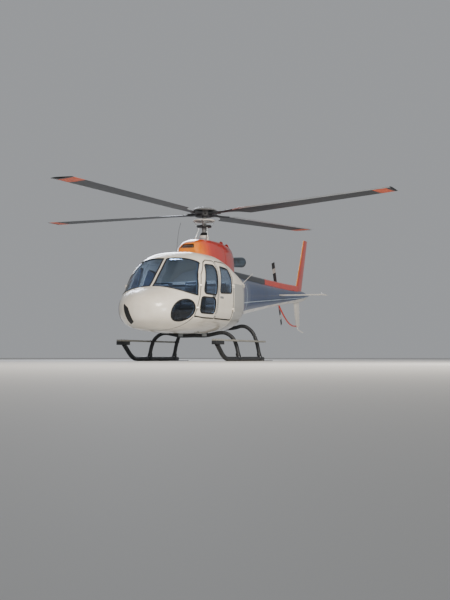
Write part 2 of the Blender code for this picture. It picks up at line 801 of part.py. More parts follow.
def cowl_side(y, z):
    """How far out the cowl's face lies at this station and height."""
    half, top = smooth_curve(COWL, 1, y), smooth_curve(COWL, 2, y)
    part = (z - COWL_BASE_Z) / (top - COWL_BASE_Z)
    return half * max(0.0, 1.0 - part ** COWL_FULLNESS) ** (1.0 / COWL_FULLNESS)


def gearbox_hinge_places(side):
    """Points of a gearbox cowl's hinge: just outside its face, a lift over the roof."""
    places = []
    for y in GEARBOX_HINGE_YS:
        z = 2.0
        for _ in range(8):
            x = cowl_side(y, z) + HINGE_PROUD
            z = skin_high(x, y) + GEARBOX_HINGE_LIFT
        places.append(flip((x, y, z), side))
    return places


def engine_hinge_places(side):
    """Points of the line that an engine cowl swings up on: just over the edge of the spine."""
    x = RIDGE_HALF + COWL_GAP / 2.0
    places = []
    for y in ENGINE_HINGE_YS:
        half, top = smooth_curve(COWL, 1, y), smooth_curve(COWL, 2, y)
        part = (1.0 - (x / half) ** COWL_FULLNESS) ** (1.0 / COWL_FULLNESS)
        z = COWL_BASE_Z + (top - COWL_BASE_Z) * part + HINGE_PROUD
        places.append(flip((x, y, z), side))
    return places


def cowls(blanks, shells, orange, dark):
    outer = guide("cowl outer", loft([cowl_ring(y) for y in COWL_STATIONS]))
    inner_rings = []
    for i, y in enumerate(COWL_STATIONS):
        ends = {0: COWL_WALL, len(COWL_STATIONS) - 1: -COWL_WALL}
        inner_rings.append(cowl_ring(y, COWL_WALL, y + ends.get(i, 0.0) + (0.012 if i == 1 else 0.0)))
    low_rings = []
    for ring in inner_rings:
        low_rings.append([(x, y, z - 0.02 if z < COWL_BASE_Z + 1e-6 else z) for x, y, z in ring])
    inner = guide("cowl inner", loft(low_rings))
    seat = {
        "fixed": (blanks["outer"], blanks["aft outer"]),
        "moving": (
            body_blank("swing room", CABIN_STATIONS, -0.007, past_end=0.02),
            body_blank("aft swing room", AFT_STATIONS, -0.007, 0.3),
        ),
    }

    def cowl(name, spaces, kind):
        thing = copy_of(name, outer, orange)
        shape(thing, inner)
        for cutter in seat[kind]:
            shape(thing, cutter)
        for cutter in spaces:
            shape(thing, cutter, "INTERSECT")
        return thing

    ridge = guide("ridge space", block((-RIDGE_HALF, -1.0, 1.6), (RIDGE_HALF, GEARBOX_JOINT_Y, 2.7)))
    front = guide("intake space", block((-FAR, -1.0, 1.6), (FAR, INTAKE_JOINT_Y, 2.7)))
    shape(front, ridge, "UNION")
    intake = cowl("intake_cowl", [front], "fixed")
    mouth = rounded([(-0.16, 2.315), (0.16, 2.315), (0.13, 2.40), (-0.13, 2.40)], 0.02, 2)
    shape(intake, guide("intake mouth", prism(mouth, -1.1, -0.70, "Y")))
    mast_hole = turned([(MAST_SUPPORT_TOP_RADIUS + 0.004, 2.3), (MAST_SUPPORT_TOP_RADIUS + 0.004, 2.8)], 20)
    shape(intake, guide("mast hole", mast_hole))

    rear_space = guide("exhaust cowl space", block((-FAR, EXHAUST_JOINT_Y, 1.6), (FAR, 2.2, 2.7)))
    spine = block((-RIDGE_HALF, GEARBOX_JOINT_Y + SEAT_GAP, 1.6), (RIDGE_HALF, EXHAUST_JOINT_Y + 0.1, 2.7))
    shape(rear_space, guide("spine space", spine), "UNION")
    tail_fairing = cowl("exhaust_cowl", [rear_space], "fixed")

    for word, side in SIDES:
        low, high = sorted((side * (RIDGE_HALF + COWL_GAP), side * FAR))
        space = guide(
            f"gearbox cowl space {word}",
            block((low, INTAKE_JOINT_Y + COWL_GAP, 1.6), (high, GEARBOX_JOINT_Y - 2.0 * COWL_GAP, 2.7)),
        )
        piece = cowl(f"gearbox_cowl_{word}", [space], "moving")
        hinge(
            piece, (shells["canopy"], shells["aft"]), gearbox_hinge_places(side),
            flip((-0.034, 0.0, 0.050), side), flip((0.0, 0.0, -0.054), side),
        )
        space = guide(
            f"engine cowl space {word}",
            block((low, GEARBOX_JOINT_Y, 1.6), (high, EXHAUST_JOINT_Y - COWL_GAP, 2.7)),
        )
        piece = cowl(f"engine_cowl_{word}", [space], "moving")
        hinge(
            piece, tail_fairing, engine_hinge_places(side),
            flip((0.036, 0.0, -0.066), side), flip((-0.040, 0.0, -0.036), side),
        )

    level = Vector((0.0, 0.06, 0.0))
    along = (EXHAUST_END - EXHAUST_ENTRY - level).normalized()
    route = [EXHAUST_ENTRY, EXHAUST_ENTRY + level, EXHAUST_END]
    pipe_hole = rod([EXHAUST_ENTRY - level, EXHAUST_ENTRY + level, EXHAUST_END], EXHAUST_RADIUS + 0.012, 16)
    shape(tail_fairing, guide("exhaust hole", pipe_hole))
    radii = [EXHAUST_RADIUS - 0.02, EXHAUST_RADIUS - 0.01, EXHAUST_RADIUS]
    pipe = put("exhaust_pipe", rod(route, radii, 16), dark)
    bore = rod([EXHAUST_ENTRY + level * 2.0, EXHAUST_END + along * 0.05], EXHAUST_RADIUS - 0.026, 16)
    shape(pipe, guide("exhaust bore", bore))


def machinery(blanks, grey):
    """The engine and the main gearbox as plain bodies at their real places."""
    engine = put("engine", block(ENGINE_LOW, ENGINE_HIGH), grey)
    shape(engine, blanks["aft outer"])
    socket_centre = Vector((0.0, EXHAUST_ENTRY.y - 0.05, EXHAUST_ENTRY.z))
    collar = rod([socket_centre, EXHAUST_ENTRY - Vector((0.0, SEAT_GAP, 0.0))], EXHAUST_RADIUS - 0.03, 12)
    shape(engine, guide("engine outlet", collar), "UNION")
    profile = [
        (0.20, 1.80), (0.20, 2.26), (0.16, 2.34), (MAST_SUPPORT_TOP_RADIUS, 2.50),
        (MAST_SUPPORT_TOP_RADIUS, MAST_SUPPORT_TOP_Z),
    ]
    gearbox = put("gearbox", turned(profile, 20), grey)
    shape(gearbox, blanks["outer"])
    shape(gearbox, blanks["aft outer"])
    bore = turned([(MAST_RADIUS + 0.006, MAST_FOOT_Z), (MAST_RADIUS + 0.006, MAST_SUPPORT_TOP_Z + 0.1)], 20)
    shape(gearbox, guide("mast bore", bore))


# Main rotor
MAST_RADIUS = 0.050
MAST_FOOT_Z = 2.46
MAST_SUPPORT_TOP_RADIUS = 0.110
MAST_SUPPORT_TOP_Z = 2.66
SWASHPLATE_Z = 2.86
SWASHPLATE_RADIUS = 0.160
LINK_RING_Z = 2.98
LINK_RING_RADIUS = 0.220
HUB_LOW_Z = 3.06
STAR_LOW_Z = 3.105
STAR_HIGH_Z = 3.155
CAP_RADIUS = 0.270
CAP_TOP_Z = 3.27
BLADE_ROOT = 0.40
CUFF_END = 0.62
BLADE_FULL = 0.98


def blade_turns():
    return [FIRST_BLADE + 2.0 * math.pi * k / BLADE_COUNT for k in range(BLADE_COUNT)]


def aerofoil(chord, thickness, nose, pitch=0.0, count=5):
    """Section points as (along the chord, up), its leading edge at nose and its tail at nose - chord."""
    upper, lower = [], []
    for k in range(count + 1):
        share = (k / count) ** 1.6
        bulge = 1.7 * math.sqrt(share) * (1.0 - share) ** 0.9 + 0.06 * (1.0 - share) * share
        half = thickness / 2.0 * min(1.0, bulge) + 0.0015
        along = nose - chord * share
        upper.append((along, half))
        lower.append((along, -half))
    points = upper + lower[::-1]
    turned_points = []
    for along, up in points:
        turned_points.append(
            (along * math.cos(pitch) - up * math.sin(pitch), along * math.sin(pitch) + up * math.cos(pitch))
        )
    return turned_points


def main_blade(finish, index, turn):
    """One blade along local +X: a round-cornered cuff, then the aerofoil out to a square tip."""
    # Radius, chord, share of the chord ahead of the pitch axis, thickness, pitch in degrees
    stations = (
        (BLADE_ROOT, 0.120, 0.50, 0.060, 0.0),
        (CUFF_END, 0.130, 0.50, 0.055, 2.0),
        (0.80, 0.260, 0.42, 0.050, 5.0),
        (BLADE_FULL, BLADE_CHORD, 0.32, BLADE_THICKNESS, 5.0),
        (2.60, BLADE_CHORD, 0.30, 0.040, 3.0),
        (ROTOR_RADIUS, BLADE_CHORD * 0.96, 0.28, 0.032, 1.0),
    )
    rings = []
    for radius, chord, ahead, thickness, pitch in stations:
        section = aerofoil(chord, thickness, chord * ahead, math.radians(pitch))
        lift = math.tan(BLADE_CONING) * (radius - BLADE_ROOT)
        slant = 0.05 if radius == ROTOR_RADIUS else 0.0
        rings.append([(radius - slant * (along < 0.0), -along, up + lift) for along, up in section])
    body = loft(rings)
    place = Matrix.Translation((0.0, 0.0, (STAR_LOW_Z + STAR_HIGH_Z) / 2.0)) @ Matrix.Rotation(turn, 4, "Z")
    return put(f"main_blade_{index}", moved(body, place), finish)


def main_rotor(dark, steel, grey):
    post = turned([(MAST_RADIUS, MAST_FOOT_Z + SEAT_GAP), (MAST_RADIUS, HUB_LOW_Z)], 16)
    mast = put("rotor_mast", post, steel)
    profile = [
        (0.0505, SWASHPLATE_Z - 0.03), (SWASHPLATE_RADIUS, SWASHPLATE_Z - 0.02),
        (SWASHPLATE_RADIUS, SWASHPLATE_Z + 0.02), (0.07, SWASHPLATE_Z + 0.035),
    ]
    plate = turned(profile, 16)
    shape(mast, guide("swashplate", plate), "UNION")
    section = [
        (LINK_RING_RADIUS - 0.015, LINK_RING_Z - 0.015), (LINK_RING_RADIUS + 0.015, LINK_RING_Z - 0.015),
        (LINK_RING_RADIUS + 0.015, LINK_RING_Z + 0.015), (LINK_RING_RADIUS - 0.015, LINK_RING_Z + 0.015),
    ]
    shape(mast, guide("link ring", ring_body(section, 24)), "UNION")
    for k, turn in enumerate(blade_turns()):
        way = Vector((math.cos(turn + 0.5), math.sin(turn + 0.5), 0.0))
        low = way * (SWASHPLATE_RADIUS - 0.02) + Vector((0, 0, SWASHPLATE_Z))
        high = way * LINK_RING_RADIUS + Vector((0, 0, LINK_RING_Z))
        shape(mast, guide(f"pitch link {k}", rod([low, high], 0.012, 6)), "UNION")
        inward = way * (MAST_RADIUS - 0.01) + Vector((0, 0, LINK_RING_Z))
        shape(mast, guide(f"ring spoke {k}", rod([inward, high], 0.011, 6)), "UNION")

    hub = put(
        "rotor_hub",
        turned(
            [
                (0.17, HUB_LOW_Z + SEAT_GAP), (0.19, STAR_LOW_Z - 0.01), (0.19, STAR_HIGH_Z + 0.01),
                (CAP_RADIUS, 3.19), (CAP_RADIUS, 3.205), (0.20, 3.245), (0.09, CAP_TOP_Z),
            ],
            20,
        ),
        grey,
    )
    root_end = BLADE_ROOT - SEAT_GAP
    for k, turn in enumerate(blade_turns()):
        arm = [
            (0.10, -0.090), (0.24, -0.075), (root_end, -0.060),
            (root_end, 0.060), (0.24, 0.075), (0.10, 0.090),
        ]
        body = prism(arm, STAR_LOW_Z, STAR_HIGH_Z, "Z")
        shape(hub, guide(f"star arm {k}", moved(body, Matrix.Rotation(turn, 4, "Z"))), "UNION")
    for k, turn in enumerate(blade_turns()):
        main_blade(dark, k + 1, turn)


# Tail
SHAFT_COVER_HALF = 0.085
SHAFT_COVER_HEIGHT = 0.130
SHAFT_COVER_START_Y = 1.16
SHAFT_COVER_SPLIT_Y = 3.37
SHAFT_COVER_END_Y = 5.80
STABILISER_Z = 1.63
STABILISER_CHORD = 0.45
# Y of the leading edge, half span, at the boom and at the tip
STABILISER_ROOT = (4.05, 0.02)
STABILISER_TIP = (4.25, 1.265)
# Y of the leading edge, Z, chord, thickness
UPPER_FIN = ((5.80, 1.78, 0.50, 0.075), (6.52, 3.27, 0.33, 0.050))
LOWER_FIN = ((5.68, 1.62, 0.48, 0.070), (5.87, 0.89, 0.30, 0.045))
GUARD_ROUTE = ((4.52, 1.46), (4.66, 1.33), (4.95, 1.14), (5.28, 0.98), (5.60, 0.905), (5.882, 0.90))
GUARD_RADIUS = 0.022
TAIL_GEARBOX_RADIUS = 0.085
TAIL_GEARBOX_END_X = -0.27


def fin_body(stations, spare=0.0):
    rings = []
    for y, z, chord, thickness in stations:
        section = aerofoil(chord + 2.0 * spare, thickness + 2.0 * spare, chord + spare)
        rings.append([(up, y + chord - along, z) for along, up in section])
    return loft(rings)


def tail(blanks, blue, orange, cream, dark, steel):
    boom = copy_of("tail_boom", blanks["boom"], blue)
    shape(boom, blanks["boom inside"])
    covers = (
        ("shaft_cover_front", SHAFT_COVER_START_Y, SHAFT_COVER_SPLIT_Y - SEAT_GAP, dark),
        ("shaft_cover_rear", SHAFT_COVER_SPLIT_Y, SHAFT_COVER_END_Y, orange),
    )
    for name, start, end, finish in covers:
        rings = []
        for y in (start, (start + end) / 2.0, end):
            top = skin_high(0.0, y) + SHAFT_COVER_HEIGHT
            low = top - SHAFT_COVER_HEIGHT - 0.06
            half = SHAFT_COVER_HALF
            outline = [
                (-half, low), (half, low), (half, top - 0.05), (half * 0.80, top - 0.015), (half * 0.4, top),
                (-half * 0.4, top), (-half * 0.80, top - 0.015), (-half, top - 0.05),
            ]
            rings.append([(x, y, z) for x, z in outline])
        cover = put(name, loft(rings), finish)
        shape(cover, blanks["boom outer"])
        if start < BOOM_START_Y:
            shape(cover, blanks["aft outer"])
        else:
            centre = TAIL_ROTOR_CENTRE
            route = [(-0.4, centre.y, centre.z), (0.4, centre.y, centre.z)]
            shape(cover, guide("room for the tail gearbox", rod(route, TAIL_GEARBOX_RADIUS + FLOOR_GAP, 12)))
    for word, side in SIDES:
        rings = []
        for y, x in (STABILISER_ROOT, STABILISER_TIP):
            section = aerofoil(STABILISER_CHORD, 0.060, STABILISER_CHORD)
            tail_y = y + STABILISER_CHORD
            rings.append([(side * x, tail_y - along, STABILISER_Z + up) for along, up in section])
        stabiliser = put(f"stabiliser_{word}", loft(rings), cream)
        shape(stabiliser, blanks["boom outer"])
    upper = put("upper_fin", fin_body(UPPER_FIN), orange)
    shape(upper, blanks["boom outer"])
    lower = put("lower_fin", fin_body(LOWER_FIN), cream)
    shape(lower, blanks["boom outer"])
    bumper = rod(bend([(0, 5.97, 0.95), (0, 6.00, 0.86), (0, 6.12, 0.80), (0, 6.45, 0.745)], 3), 0.016, 8)
    shape(lower, guide("tail bumper", bumper), "UNION")
    guard = put("guard_tube", rod(bend([(0.0, y, z) for y, z in GUARD_ROUTE], 3), GUARD_RADIUS, 8), orange)
    shape(guard, blanks["boom outer"])
    shape(guard, guide("clear of the lower fin", fin_body(LOWER_FIN, FLOOR_GAP)))

    centre = TAIL_ROTOR_CENTRE
    xs = (0.0, -0.20, TAIL_GEARBOX_END_X)
    radii = [TAIL_GEARBOX_RADIUS, TAIL_GEARBOX_RADIUS, 0.055]
    gearbox = put("tail_gearbox", rod([(x, centre.y, centre.z) for x in xs], radii, 12), steel)
    shape(gearbox, blanks["boom outer"])
    xs = (TAIL_GEARBOX_END_X - SEAT_GAP, -0.315, -0.320, -0.405)
    radii = [0.028, 0.028, 0.055, 0.050]
    rotor = put("tail_rotor", rod([(x, centre.y, centre.z) for x in xs], radii, 12), dark)
    for k in range(2):
        rings = []
        # Radius, chord, thickness
        for radius, chord, thickness in (
            (0.03, 0.070, 0.036), (0.16, 0.080, 0.032), (0.30, 0.160, 0.022),
            (TAIL_ROTOR_RADIUS, 0.160, 0.016),
        ):
            section = aerofoil(chord, thickness, chord * 0.35, math.radians(8.0), 3)
            rings.append([(up, along, radius) for along, up in section])
        body = loft(rings)
        turn = TAIL_ROTOR_LEAN + k * math.pi
        place = Matrix.Translation(centre) @ Matrix.Rotation(turn, 4, "X")
        shape(rotor, guide(f"tail blade {k}", moved(body, place)), "UNION")


# Landing gear
SKID_ROUTE = (
    (0.80, SKID_RADIUS), (-1.02, SKID_RADIUS), (-1.20, 0.058), (-1.36, 0.130), (-1.50, 0.235), (-1.63, 0.335),
)
TOE_PLATE = ((0.985, -1.80, 0.325), (1.095, -1.44, 0.3947))
STRIP = ((1.0, 0.60, 0.0), (1.04, 1.36, 0.012))
STEP = ((0.985, -1.80, 0.395), (1.095, 0.80, 0.430))
# X, Z of the crosstubes from the middle out
FRONT_TUBE = (
    (0.00, None), (0.30, None), (0.62, 0.580), (0.78, 0.548), (0.90, 0.450), (0.965, 0.320), (1.00, 0.180),
    (1.02, 0.060),
)
AFT_TUBE = (
    (0.00, None), (0.30, None), (0.46, 0.715), (0.60, 0.745), (0.73, 0.715), (0.86, 0.600), (0.945, 0.410),
    (0.995, 0.200), (1.02, 0.060),
)


def tube_route(table, y):
    centre = skin_low(0.0, y) - CROSSTUBE_RADIUS - SEAT_GAP
    half = [(x, centre if z is None else z) for x, z in table]
    return bend([(-x, y, z) for x, z in half[:0:-1]] + [(x, y, z) for x, z in half], 2)


def landing_gear(blanks, black, grey):
    for word, side in SIDES:
        x = side * SKID_TRACK_HALF
        skid = put(f"skid_{word}", rod([(x, y, z) for y, z in SKID_ROUTE], SKID_RADIUS, 12), black)
        for name, (low, high) in (("toe plate", TOE_PLATE), ("spring strip", STRIP)):
            xs = sorted((side * low[0], side * high[0]))
            box = block((xs[0], low[1], low[2]), (xs[1], high[1], high[2]))
            shape(skid, guide(f"{name} {word}", box), "UNION")
        xs = sorted((side * STEP[0][0], side * STEP[1][0]))
        tread = block((xs[0], STEP[0][1], STEP[0][2]), (xs[1], STEP[1][1], STEP[1][2]))
        step = put(f"step_{word}", tread, grey)
        for y in (FRONT_CROSSTUBE_Y, AFT_CROSSTUBE_Y):
            ends = sorted((side * 0.86, side * 1.00))
            bracket = block((ends[0], y - 0.03, 0.400), (ends[1], y + 0.03, 0.425))
            shape(step, guide(f"step bracket {word} {y}", bracket), "UNION")
            table = FRONT_TUBE if y == FRONT_CROSSTUBE_Y else AFT_TUBE
            clear = rod(tube_route(table, y), CROSSTUBE_RADIUS + 0.003, 10)
            shape(step, guide(f"clear of crosstube {word} {y}", clear))
            inner = sorted((side * 0.70, side * 0.925))
            trim = block((inner[0], y - 0.05, 0.38), (inner[1], y + 0.05, 0.44))
            shape(step, guide(f"bracket end {word} {y}", trim))
    for name, table, y in (
        ("crosstube_front", FRONT_TUBE, FRONT_CROSSTUBE_Y), ("crosstube_aft", AFT_TUBE, AFT_CROSSTUBE_Y)
    ):
        tube = put(name, rod(tube_route(table, y), CROSSTUBE_RADIUS, 10), black)
        for word, side in SIDES:
            x = side * SKID_TRACK_HALF
            route = [(x, y + 0.5, SKID_RADIUS), (x, y - 0.5, SKID_RADIUS)]
            shape(tube, guide(f"clear of skid {word} {name}", rod(route, SKID_RADIUS + SEAT_GAP, 12)))
            xs = sorted((side * 0.22, side * 0.32))
            centre = skin_low(0.0, y) - CROSSTUBE_RADIUS
            saddle = block((xs[0], y - 0.05, centre - 0.02), (xs[1], y + 0.05, centre + 0.14))
            shape(tube, guide(f"saddle {word} {name}", saddle), "UNION")
        shape(tube, blanks["outer"] if y < 0 else blanks["aft outer"])


def main():
    global FRAME
    clear_scene()
    FRAME = bpy.data.objects.new("helicopter", None)
    bpy.context.scene.collection.objects.link(FRAME)
    FRAME.location = (0.0, FRAME_SHIFT_Y, 0.0)
    cream = paint("cream paint", (0.80, 0.75, 0.66), 0.35)
    grey = paint("grey paint", (0.50, 0.49, 0.46), 0.40)
    orange = paint("orange paint", (0.85, 0.16, 0.04), 0.35)
    blue = paint("blue paint", (0.03, 0.09, 0.22), 0.35)
    dark = paint("dark composite", (0.03, 0.03, 0.035), 0.45)
    steel = paint("bare steel", (0.45, 0.45, 0.46), 0.35, 1.0)
    glass = paint("tinted glass", (0.05, 0.09, 0.15), 0.05)
    fabric = paint("seat fabric", (0.10, 0.10, 0.12), 0.9)
    blanks = make_blanks()
    blanks["aft plain inside"] = body_blank("baggage door inside", AFT_STATIONS, WALL, 0.02, 0.02)
    shells = cabin_shells(blanks, cream, grey)
    cabin_doors(blanks, shells, cream, glass)
    windshield(blanks, shells, glass)
    baggage_doors(blanks, shells, grey)
    cabin_fittings(blanks, grey, fabric, dark)
    landing_lights(shells)
    machinery(blanks, steel)
    cowls(blanks, shells, orange, dark)
    main_rotor(dark, steel, grey)
    tail(blanks, blue, orange, cream, dark, steel)
    landing_gear(blanks, dark, grey)
    for thing, knuckle in KNUCKLES:
        shape(thing, knuckle, "UNION", "MANIFOLD")


main()
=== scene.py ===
# %% [markdown]
# # A light utility helicopter
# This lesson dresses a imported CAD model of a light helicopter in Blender. The CAD gives every piece
# its place, size and joint. Here each piece gets its fine form, its finish and its small fittings.
# Everything is in metres, with the nose towards -Y, port towards +X and the skids on Z = 0.

# %% Load the frame
import json
import math

import bmesh
import bpy
import numpy as np
from mathutils import Matrix, Vector

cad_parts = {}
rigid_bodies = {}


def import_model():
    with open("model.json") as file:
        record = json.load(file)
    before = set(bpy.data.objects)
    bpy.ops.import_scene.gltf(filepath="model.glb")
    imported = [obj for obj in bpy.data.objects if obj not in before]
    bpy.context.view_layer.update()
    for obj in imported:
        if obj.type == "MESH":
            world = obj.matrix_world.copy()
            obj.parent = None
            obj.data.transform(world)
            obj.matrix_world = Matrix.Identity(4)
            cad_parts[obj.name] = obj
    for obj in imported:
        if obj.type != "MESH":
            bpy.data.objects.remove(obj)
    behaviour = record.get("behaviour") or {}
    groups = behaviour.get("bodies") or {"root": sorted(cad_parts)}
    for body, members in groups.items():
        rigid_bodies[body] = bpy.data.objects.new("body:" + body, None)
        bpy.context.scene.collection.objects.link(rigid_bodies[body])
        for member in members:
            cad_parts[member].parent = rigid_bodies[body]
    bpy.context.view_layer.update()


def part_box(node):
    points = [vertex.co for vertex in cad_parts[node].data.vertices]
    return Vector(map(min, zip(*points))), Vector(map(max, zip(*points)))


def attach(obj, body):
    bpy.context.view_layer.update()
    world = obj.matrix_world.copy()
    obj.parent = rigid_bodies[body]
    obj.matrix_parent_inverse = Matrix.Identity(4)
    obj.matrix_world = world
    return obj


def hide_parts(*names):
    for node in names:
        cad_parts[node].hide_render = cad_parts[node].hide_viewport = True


for thing in list(bpy.data.objects):
    bpy.data.objects.remove(thing, do_unlink=True)
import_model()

# %% [markdown]
# The helicopter was drawn round its mast, so shapes below are worked out with the mast on Y = 0.
# The frame's own mast says where that is, and every mesh is shifted there when it is made.

# %% Where the mast stands
mast_low, mast_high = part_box("rotor_mast")
SHIFT = Vector((0.0, (mast_low.y + mast_high.y) / 2.0, 0.0))
PORT, STARBOARD = 1.0, -1.0
SIDES = (("left", PORT), ("right", STARBOARD))
print("mast at Y", round(SHIFT.y, 4))

# %% [markdown]
# ## Camera, floor and light
# The picture was taken from ahead and to port with a long lens, looking slightly up. A camera that
# low on a parked machine ends up at floor level, so it stands 8 cm over the floor, as far away as
# the picture's perspective says, and it is tilted up until the rotor head is at the picture's place.

# %% Camera
IMAGE_WIDTH, IMAGE_HEIGHT = 450, 600
FOCAL_PIXELS = 984.0
SENSOR = 36.0
CAMERA_PLACE = Vector((8.69, -18.96, 0.08))
HUB_PLACE = Vector((0.0, 0.0, 3.13))
HUB_PIXEL = (204.0, 214.0)


def aim_camera(place, target, pixel):
    """Turns the camera until the target falls on the pixel, with no roll."""
    way = target - place
    yaw = math.atan2(way.x, way.y)
    pitch = math.atan2(way.z, math.hypot(way.x, way.y))
    yaw -= math.atan((pixel[0] - IMAGE_WIDTH / 2.0) / FOCAL_PIXELS)
    pitch -= math.atan((IMAGE_HEIGHT / 2.0 - pixel[1]) / FOCAL_PIXELS)
    return Matrix.Rotation(-yaw, 4, "Z") @ Matrix.Rotation(math.pi / 2.0 + pitch, 4, "X")


camera_data = bpy.data.cameras.new("camera")
camera_data.sensor_fit = "VERTICAL"
camera_data.sensor_height = SENSOR
camera_data.lens = FOCAL_PIXELS / IMAGE_HEIGHT * SENSOR
camera_data.clip_end = 200.0
camera = bpy.data.objects.new("camera", camera_data)
bpy.context.scene.collection.objects.link(camera)
camera.matrix_world = (
    Matrix.Translation(CAMERA_PLACE + SHIFT) @ aim_camera(CAMERA_PLACE, HUB_PLACE, HUB_PIXEL)
)
bpy.context.scene.camera = camera
print("lens", round(camera_data.lens, 1), "mm")

# %% [markdown]
# ## Small tools
# Colours are written as the eye knows them, as sRGB hex values, and one function turns them to the
# linear values that Blender works in. One more function adds a shader node with its settings and
# links, so that each material reads as a short list.

# %% Colour and node tools


def linear(hex_code, alpha=1.0):
    """An sRGB hex colour as linear values."""
    parts = [int(hex_code[i:i + 2], 16) / 255.0 for i in (1, 3, 5)]
    values = [part / 12.92 if part <= 0.04045 else ((part + 0.055) / 1.055) ** 2.4 for part in parts]
    return (*values, alpha)


def add(tree, kind, links=None, stops=(), **settings):
    """A node of this kind. Links is a dict of input names to sockets or plain values."""
    made = tree.nodes.new(kind)
    for name, value in settings.items():
        setattr(made, name, value)
    for name, value in (links or {}).items():
        if isinstance(value, bpy.types.NodeSocket):
            tree.links.new(value, made.inputs[name])
        else:
            made.inputs[name].default_value = value
    for k, (place, colour) in enumerate(stops):
        ramp = made.color_ramp.elements
        stop = ramp[k] if k < 2 else ramp.new(place)
        stop.position = place
        stop.color = colour
    return made


def new_finish(name):
    """An empty material with its shader, ready for nodes."""
    finish = bpy.data.materials.new(name)
    finish.use_nodes = True
    return finish, finish.node_tree, finish.node_tree.nodes["Principled BSDF"]


MM = 0.001
print("cream as linear", [round(value, 3) for value in linear("#EFE9DC")[:3]])

# %% [markdown]
# The floor is a plain pale sheet, as in a studio. The world gives an even sky-like fill, and three
# large soft lamps model the round forms: one high over the nose, one low to port so that the belly
# isn't black, and one behind for an edge of light. A dome lamp in the cabin shows the seats, since
# tinted panes keep most of the outer light out.

# %% Floor and lamps
floor_finish, tree, shader = new_finish("matt floor paint")
speckle = add(tree, "ShaderNodeTexNoise", {"Scale": 3.0, "Detail": 3.0})
tone = add(tree, "ShaderNodeMixRGB", {
    "Fac": speckle.outputs["Fac"], "Color1": linear("#C9C8C5"), "Color2": linear("#D3D2CF")
})
tree.links.new(tone.outputs["Color"], shader.inputs["Base Color"])
shader.inputs["Roughness"].default_value = 0.8
floor_mesh = bpy.data.meshes.new("floor")
FLOOR_REACH = 60.0
floor_mesh.from_pydata(
    [(-FLOOR_REACH, -FLOOR_REACH, 0), (FLOOR_REACH, -FLOOR_REACH, 0),
     (FLOOR_REACH, FLOOR_REACH, 0), (-FLOOR_REACH, FLOOR_REACH, 0)], [], [(0, 1, 2, 3)]
)
floor_mesh.materials.append(floor_finish)
floor = bpy.data.objects.new("floor", floor_mesh)
bpy.context.scene.collection.objects.link(floor)

world = bpy.data.worlds.new("studio")
bpy.context.scene.world = world
world.use_nodes = True
backdrop = world.node_tree.nodes["Background"]
backdrop.inputs["Color"].default_value = linear("#D9DCE0")
backdrop.inputs["Strength"].default_value = 0.5

LAMPS = (
    # Name, place, aimed at, size, watts, colour
    ("key lamp", (9.0, -11.0, 9.5), (0.0, -1.0, 1.5), 5.0, 2300.0, "#FFF6EA"),
    ("belly lamp", (9.5, -7.0, 1.2), (0.0, -0.5, 1.2), 3.0, 320.0, "#FFFFFF"),
    ("edge lamp", (-7.0, 9.0, 7.0), (0.0, 1.0, 2.0), 5.0, 1000.0, "#EAF1FF"),
    ("cabin dome lamp", (0.0, -1.30, 2.08), (0.0, -1.30, 1.0), 0.5, 26.0, "#F2F6FF"),
)
for name, place, target, size, watts, colour in LAMPS:
    lamp = bpy.data.lights.new(name, "AREA")
    lamp.size = size
    lamp.energy = watts
    lamp.color = linear(colour)[:3]
    holder = bpy.data.objects.new(name, lamp)
    bpy.context.scene.collection.objects.link(holder)
    holder.location = Vector(place) + SHIFT
    holder.rotation_euler = (Vector(target) - Vector(place)).to_track_quat("-Z", "Y").to_euler()
print("lamps:", len(LAMPS))

# %% [markdown]
# ## Finishes
# Light helicopters are painted with a two-pack polyurethane enamel over filled and sanded aluminium
# and glass-fibre. It dries to a hard smooth gloss with a trace of orange peel, which only breaks up
# reflections. The eye also wants the dirt: a faint grey film, laid in patches at random by a noise.
# The coat layer of the shader is the clear gloss, and the base is the pigment under it.

# %% Enamel paint
ORANGE_PEEL = 14.0 * MM
FILM_PATCH = 350.0 * MM


def enamel(name, pigment, film, roughness=0.30, bands=None, film_share=0.55):
    """A two-pack enamel. Pigment and film are hex colours; bands may repaint it by place."""
    finish, tree, shader = new_finish(name)
    place = add(tree, "ShaderNodeTexCoord")
    patch = add(tree, "ShaderNodeTexNoise", {
        "Vector": place.outputs["Object"], "Scale": 1.0 / FILM_PATCH, "Detail": 6.0, "Roughness": 0.6
    })
    spread = add(tree, "ShaderNodeValToRGB", {"Fac": patch.outputs["Fac"]}, stops=(
        (0.42, (0.0, 0.0, 0.0, 1.0)), (0.78, (film_share, film_share, film_share, 1.0))
    ))
    paint = bands(tree, place.outputs["Object"]) if bands else None
    tone = add(tree, "ShaderNodeMixRGB", {
        "Fac": spread.outputs["Color"], "Color1": paint or linear(pigment), "Color2": linear(film)
    })
    tree.links.new(tone.outputs["Color"], shader.inputs["Base Color"])
    peel = add(tree, "ShaderNodeTexNoise", {
        "Vector": place.outputs["Object"], "Scale": 1.0 / ORANGE_PEEL, "Detail": 2.0
    })
    dent = add(tree, "ShaderNodeBump", {
        "Height": peel.outputs["Fac"], "Strength": 0.06, "Distance": 0.6 * MM
    })
    tree.links.new(dent.outputs["Normal"], shader.inputs["Normal"])
    shader.inputs["Roughness"].default_value = roughness
    shader.inputs["Coat Weight"].default_value = 0.6
    shader.inputs["Coat Roughness"].default_value = 0.08
    return finish


cream_enamel = enamel("cream polyurethane enamel", "#EFE8DA", "#D5CBB8")
# This grey is painted shade, matched to the rear body's grey sides, and the baggage door hinges wear it.
shade_grey_enamel = enamel("light grey enamel matching the painted shade", "#C4C1B8", "#AEA99C", 0.36)
print("enamel:", cream_enamel.name)

# %% [markdown]
# The engine and gearbox cowls fade from a bright orange at the air intake to a deep red at the
# exhaust. The cowls are red, and the bright orange towards the intake is a painted highlight, where
# light falls on their front. Here the place along the fuselage drives a colour ramp. The object
# coordinates of every piece are the frame's own metres, so the fade runs on from one cowl to the next.

# %% Red enamel with a painted orange highlight
HIGHLIGHT_FADE_START_Y, HIGHLIGHT_FADE_END_Y = -0.85, 1.10


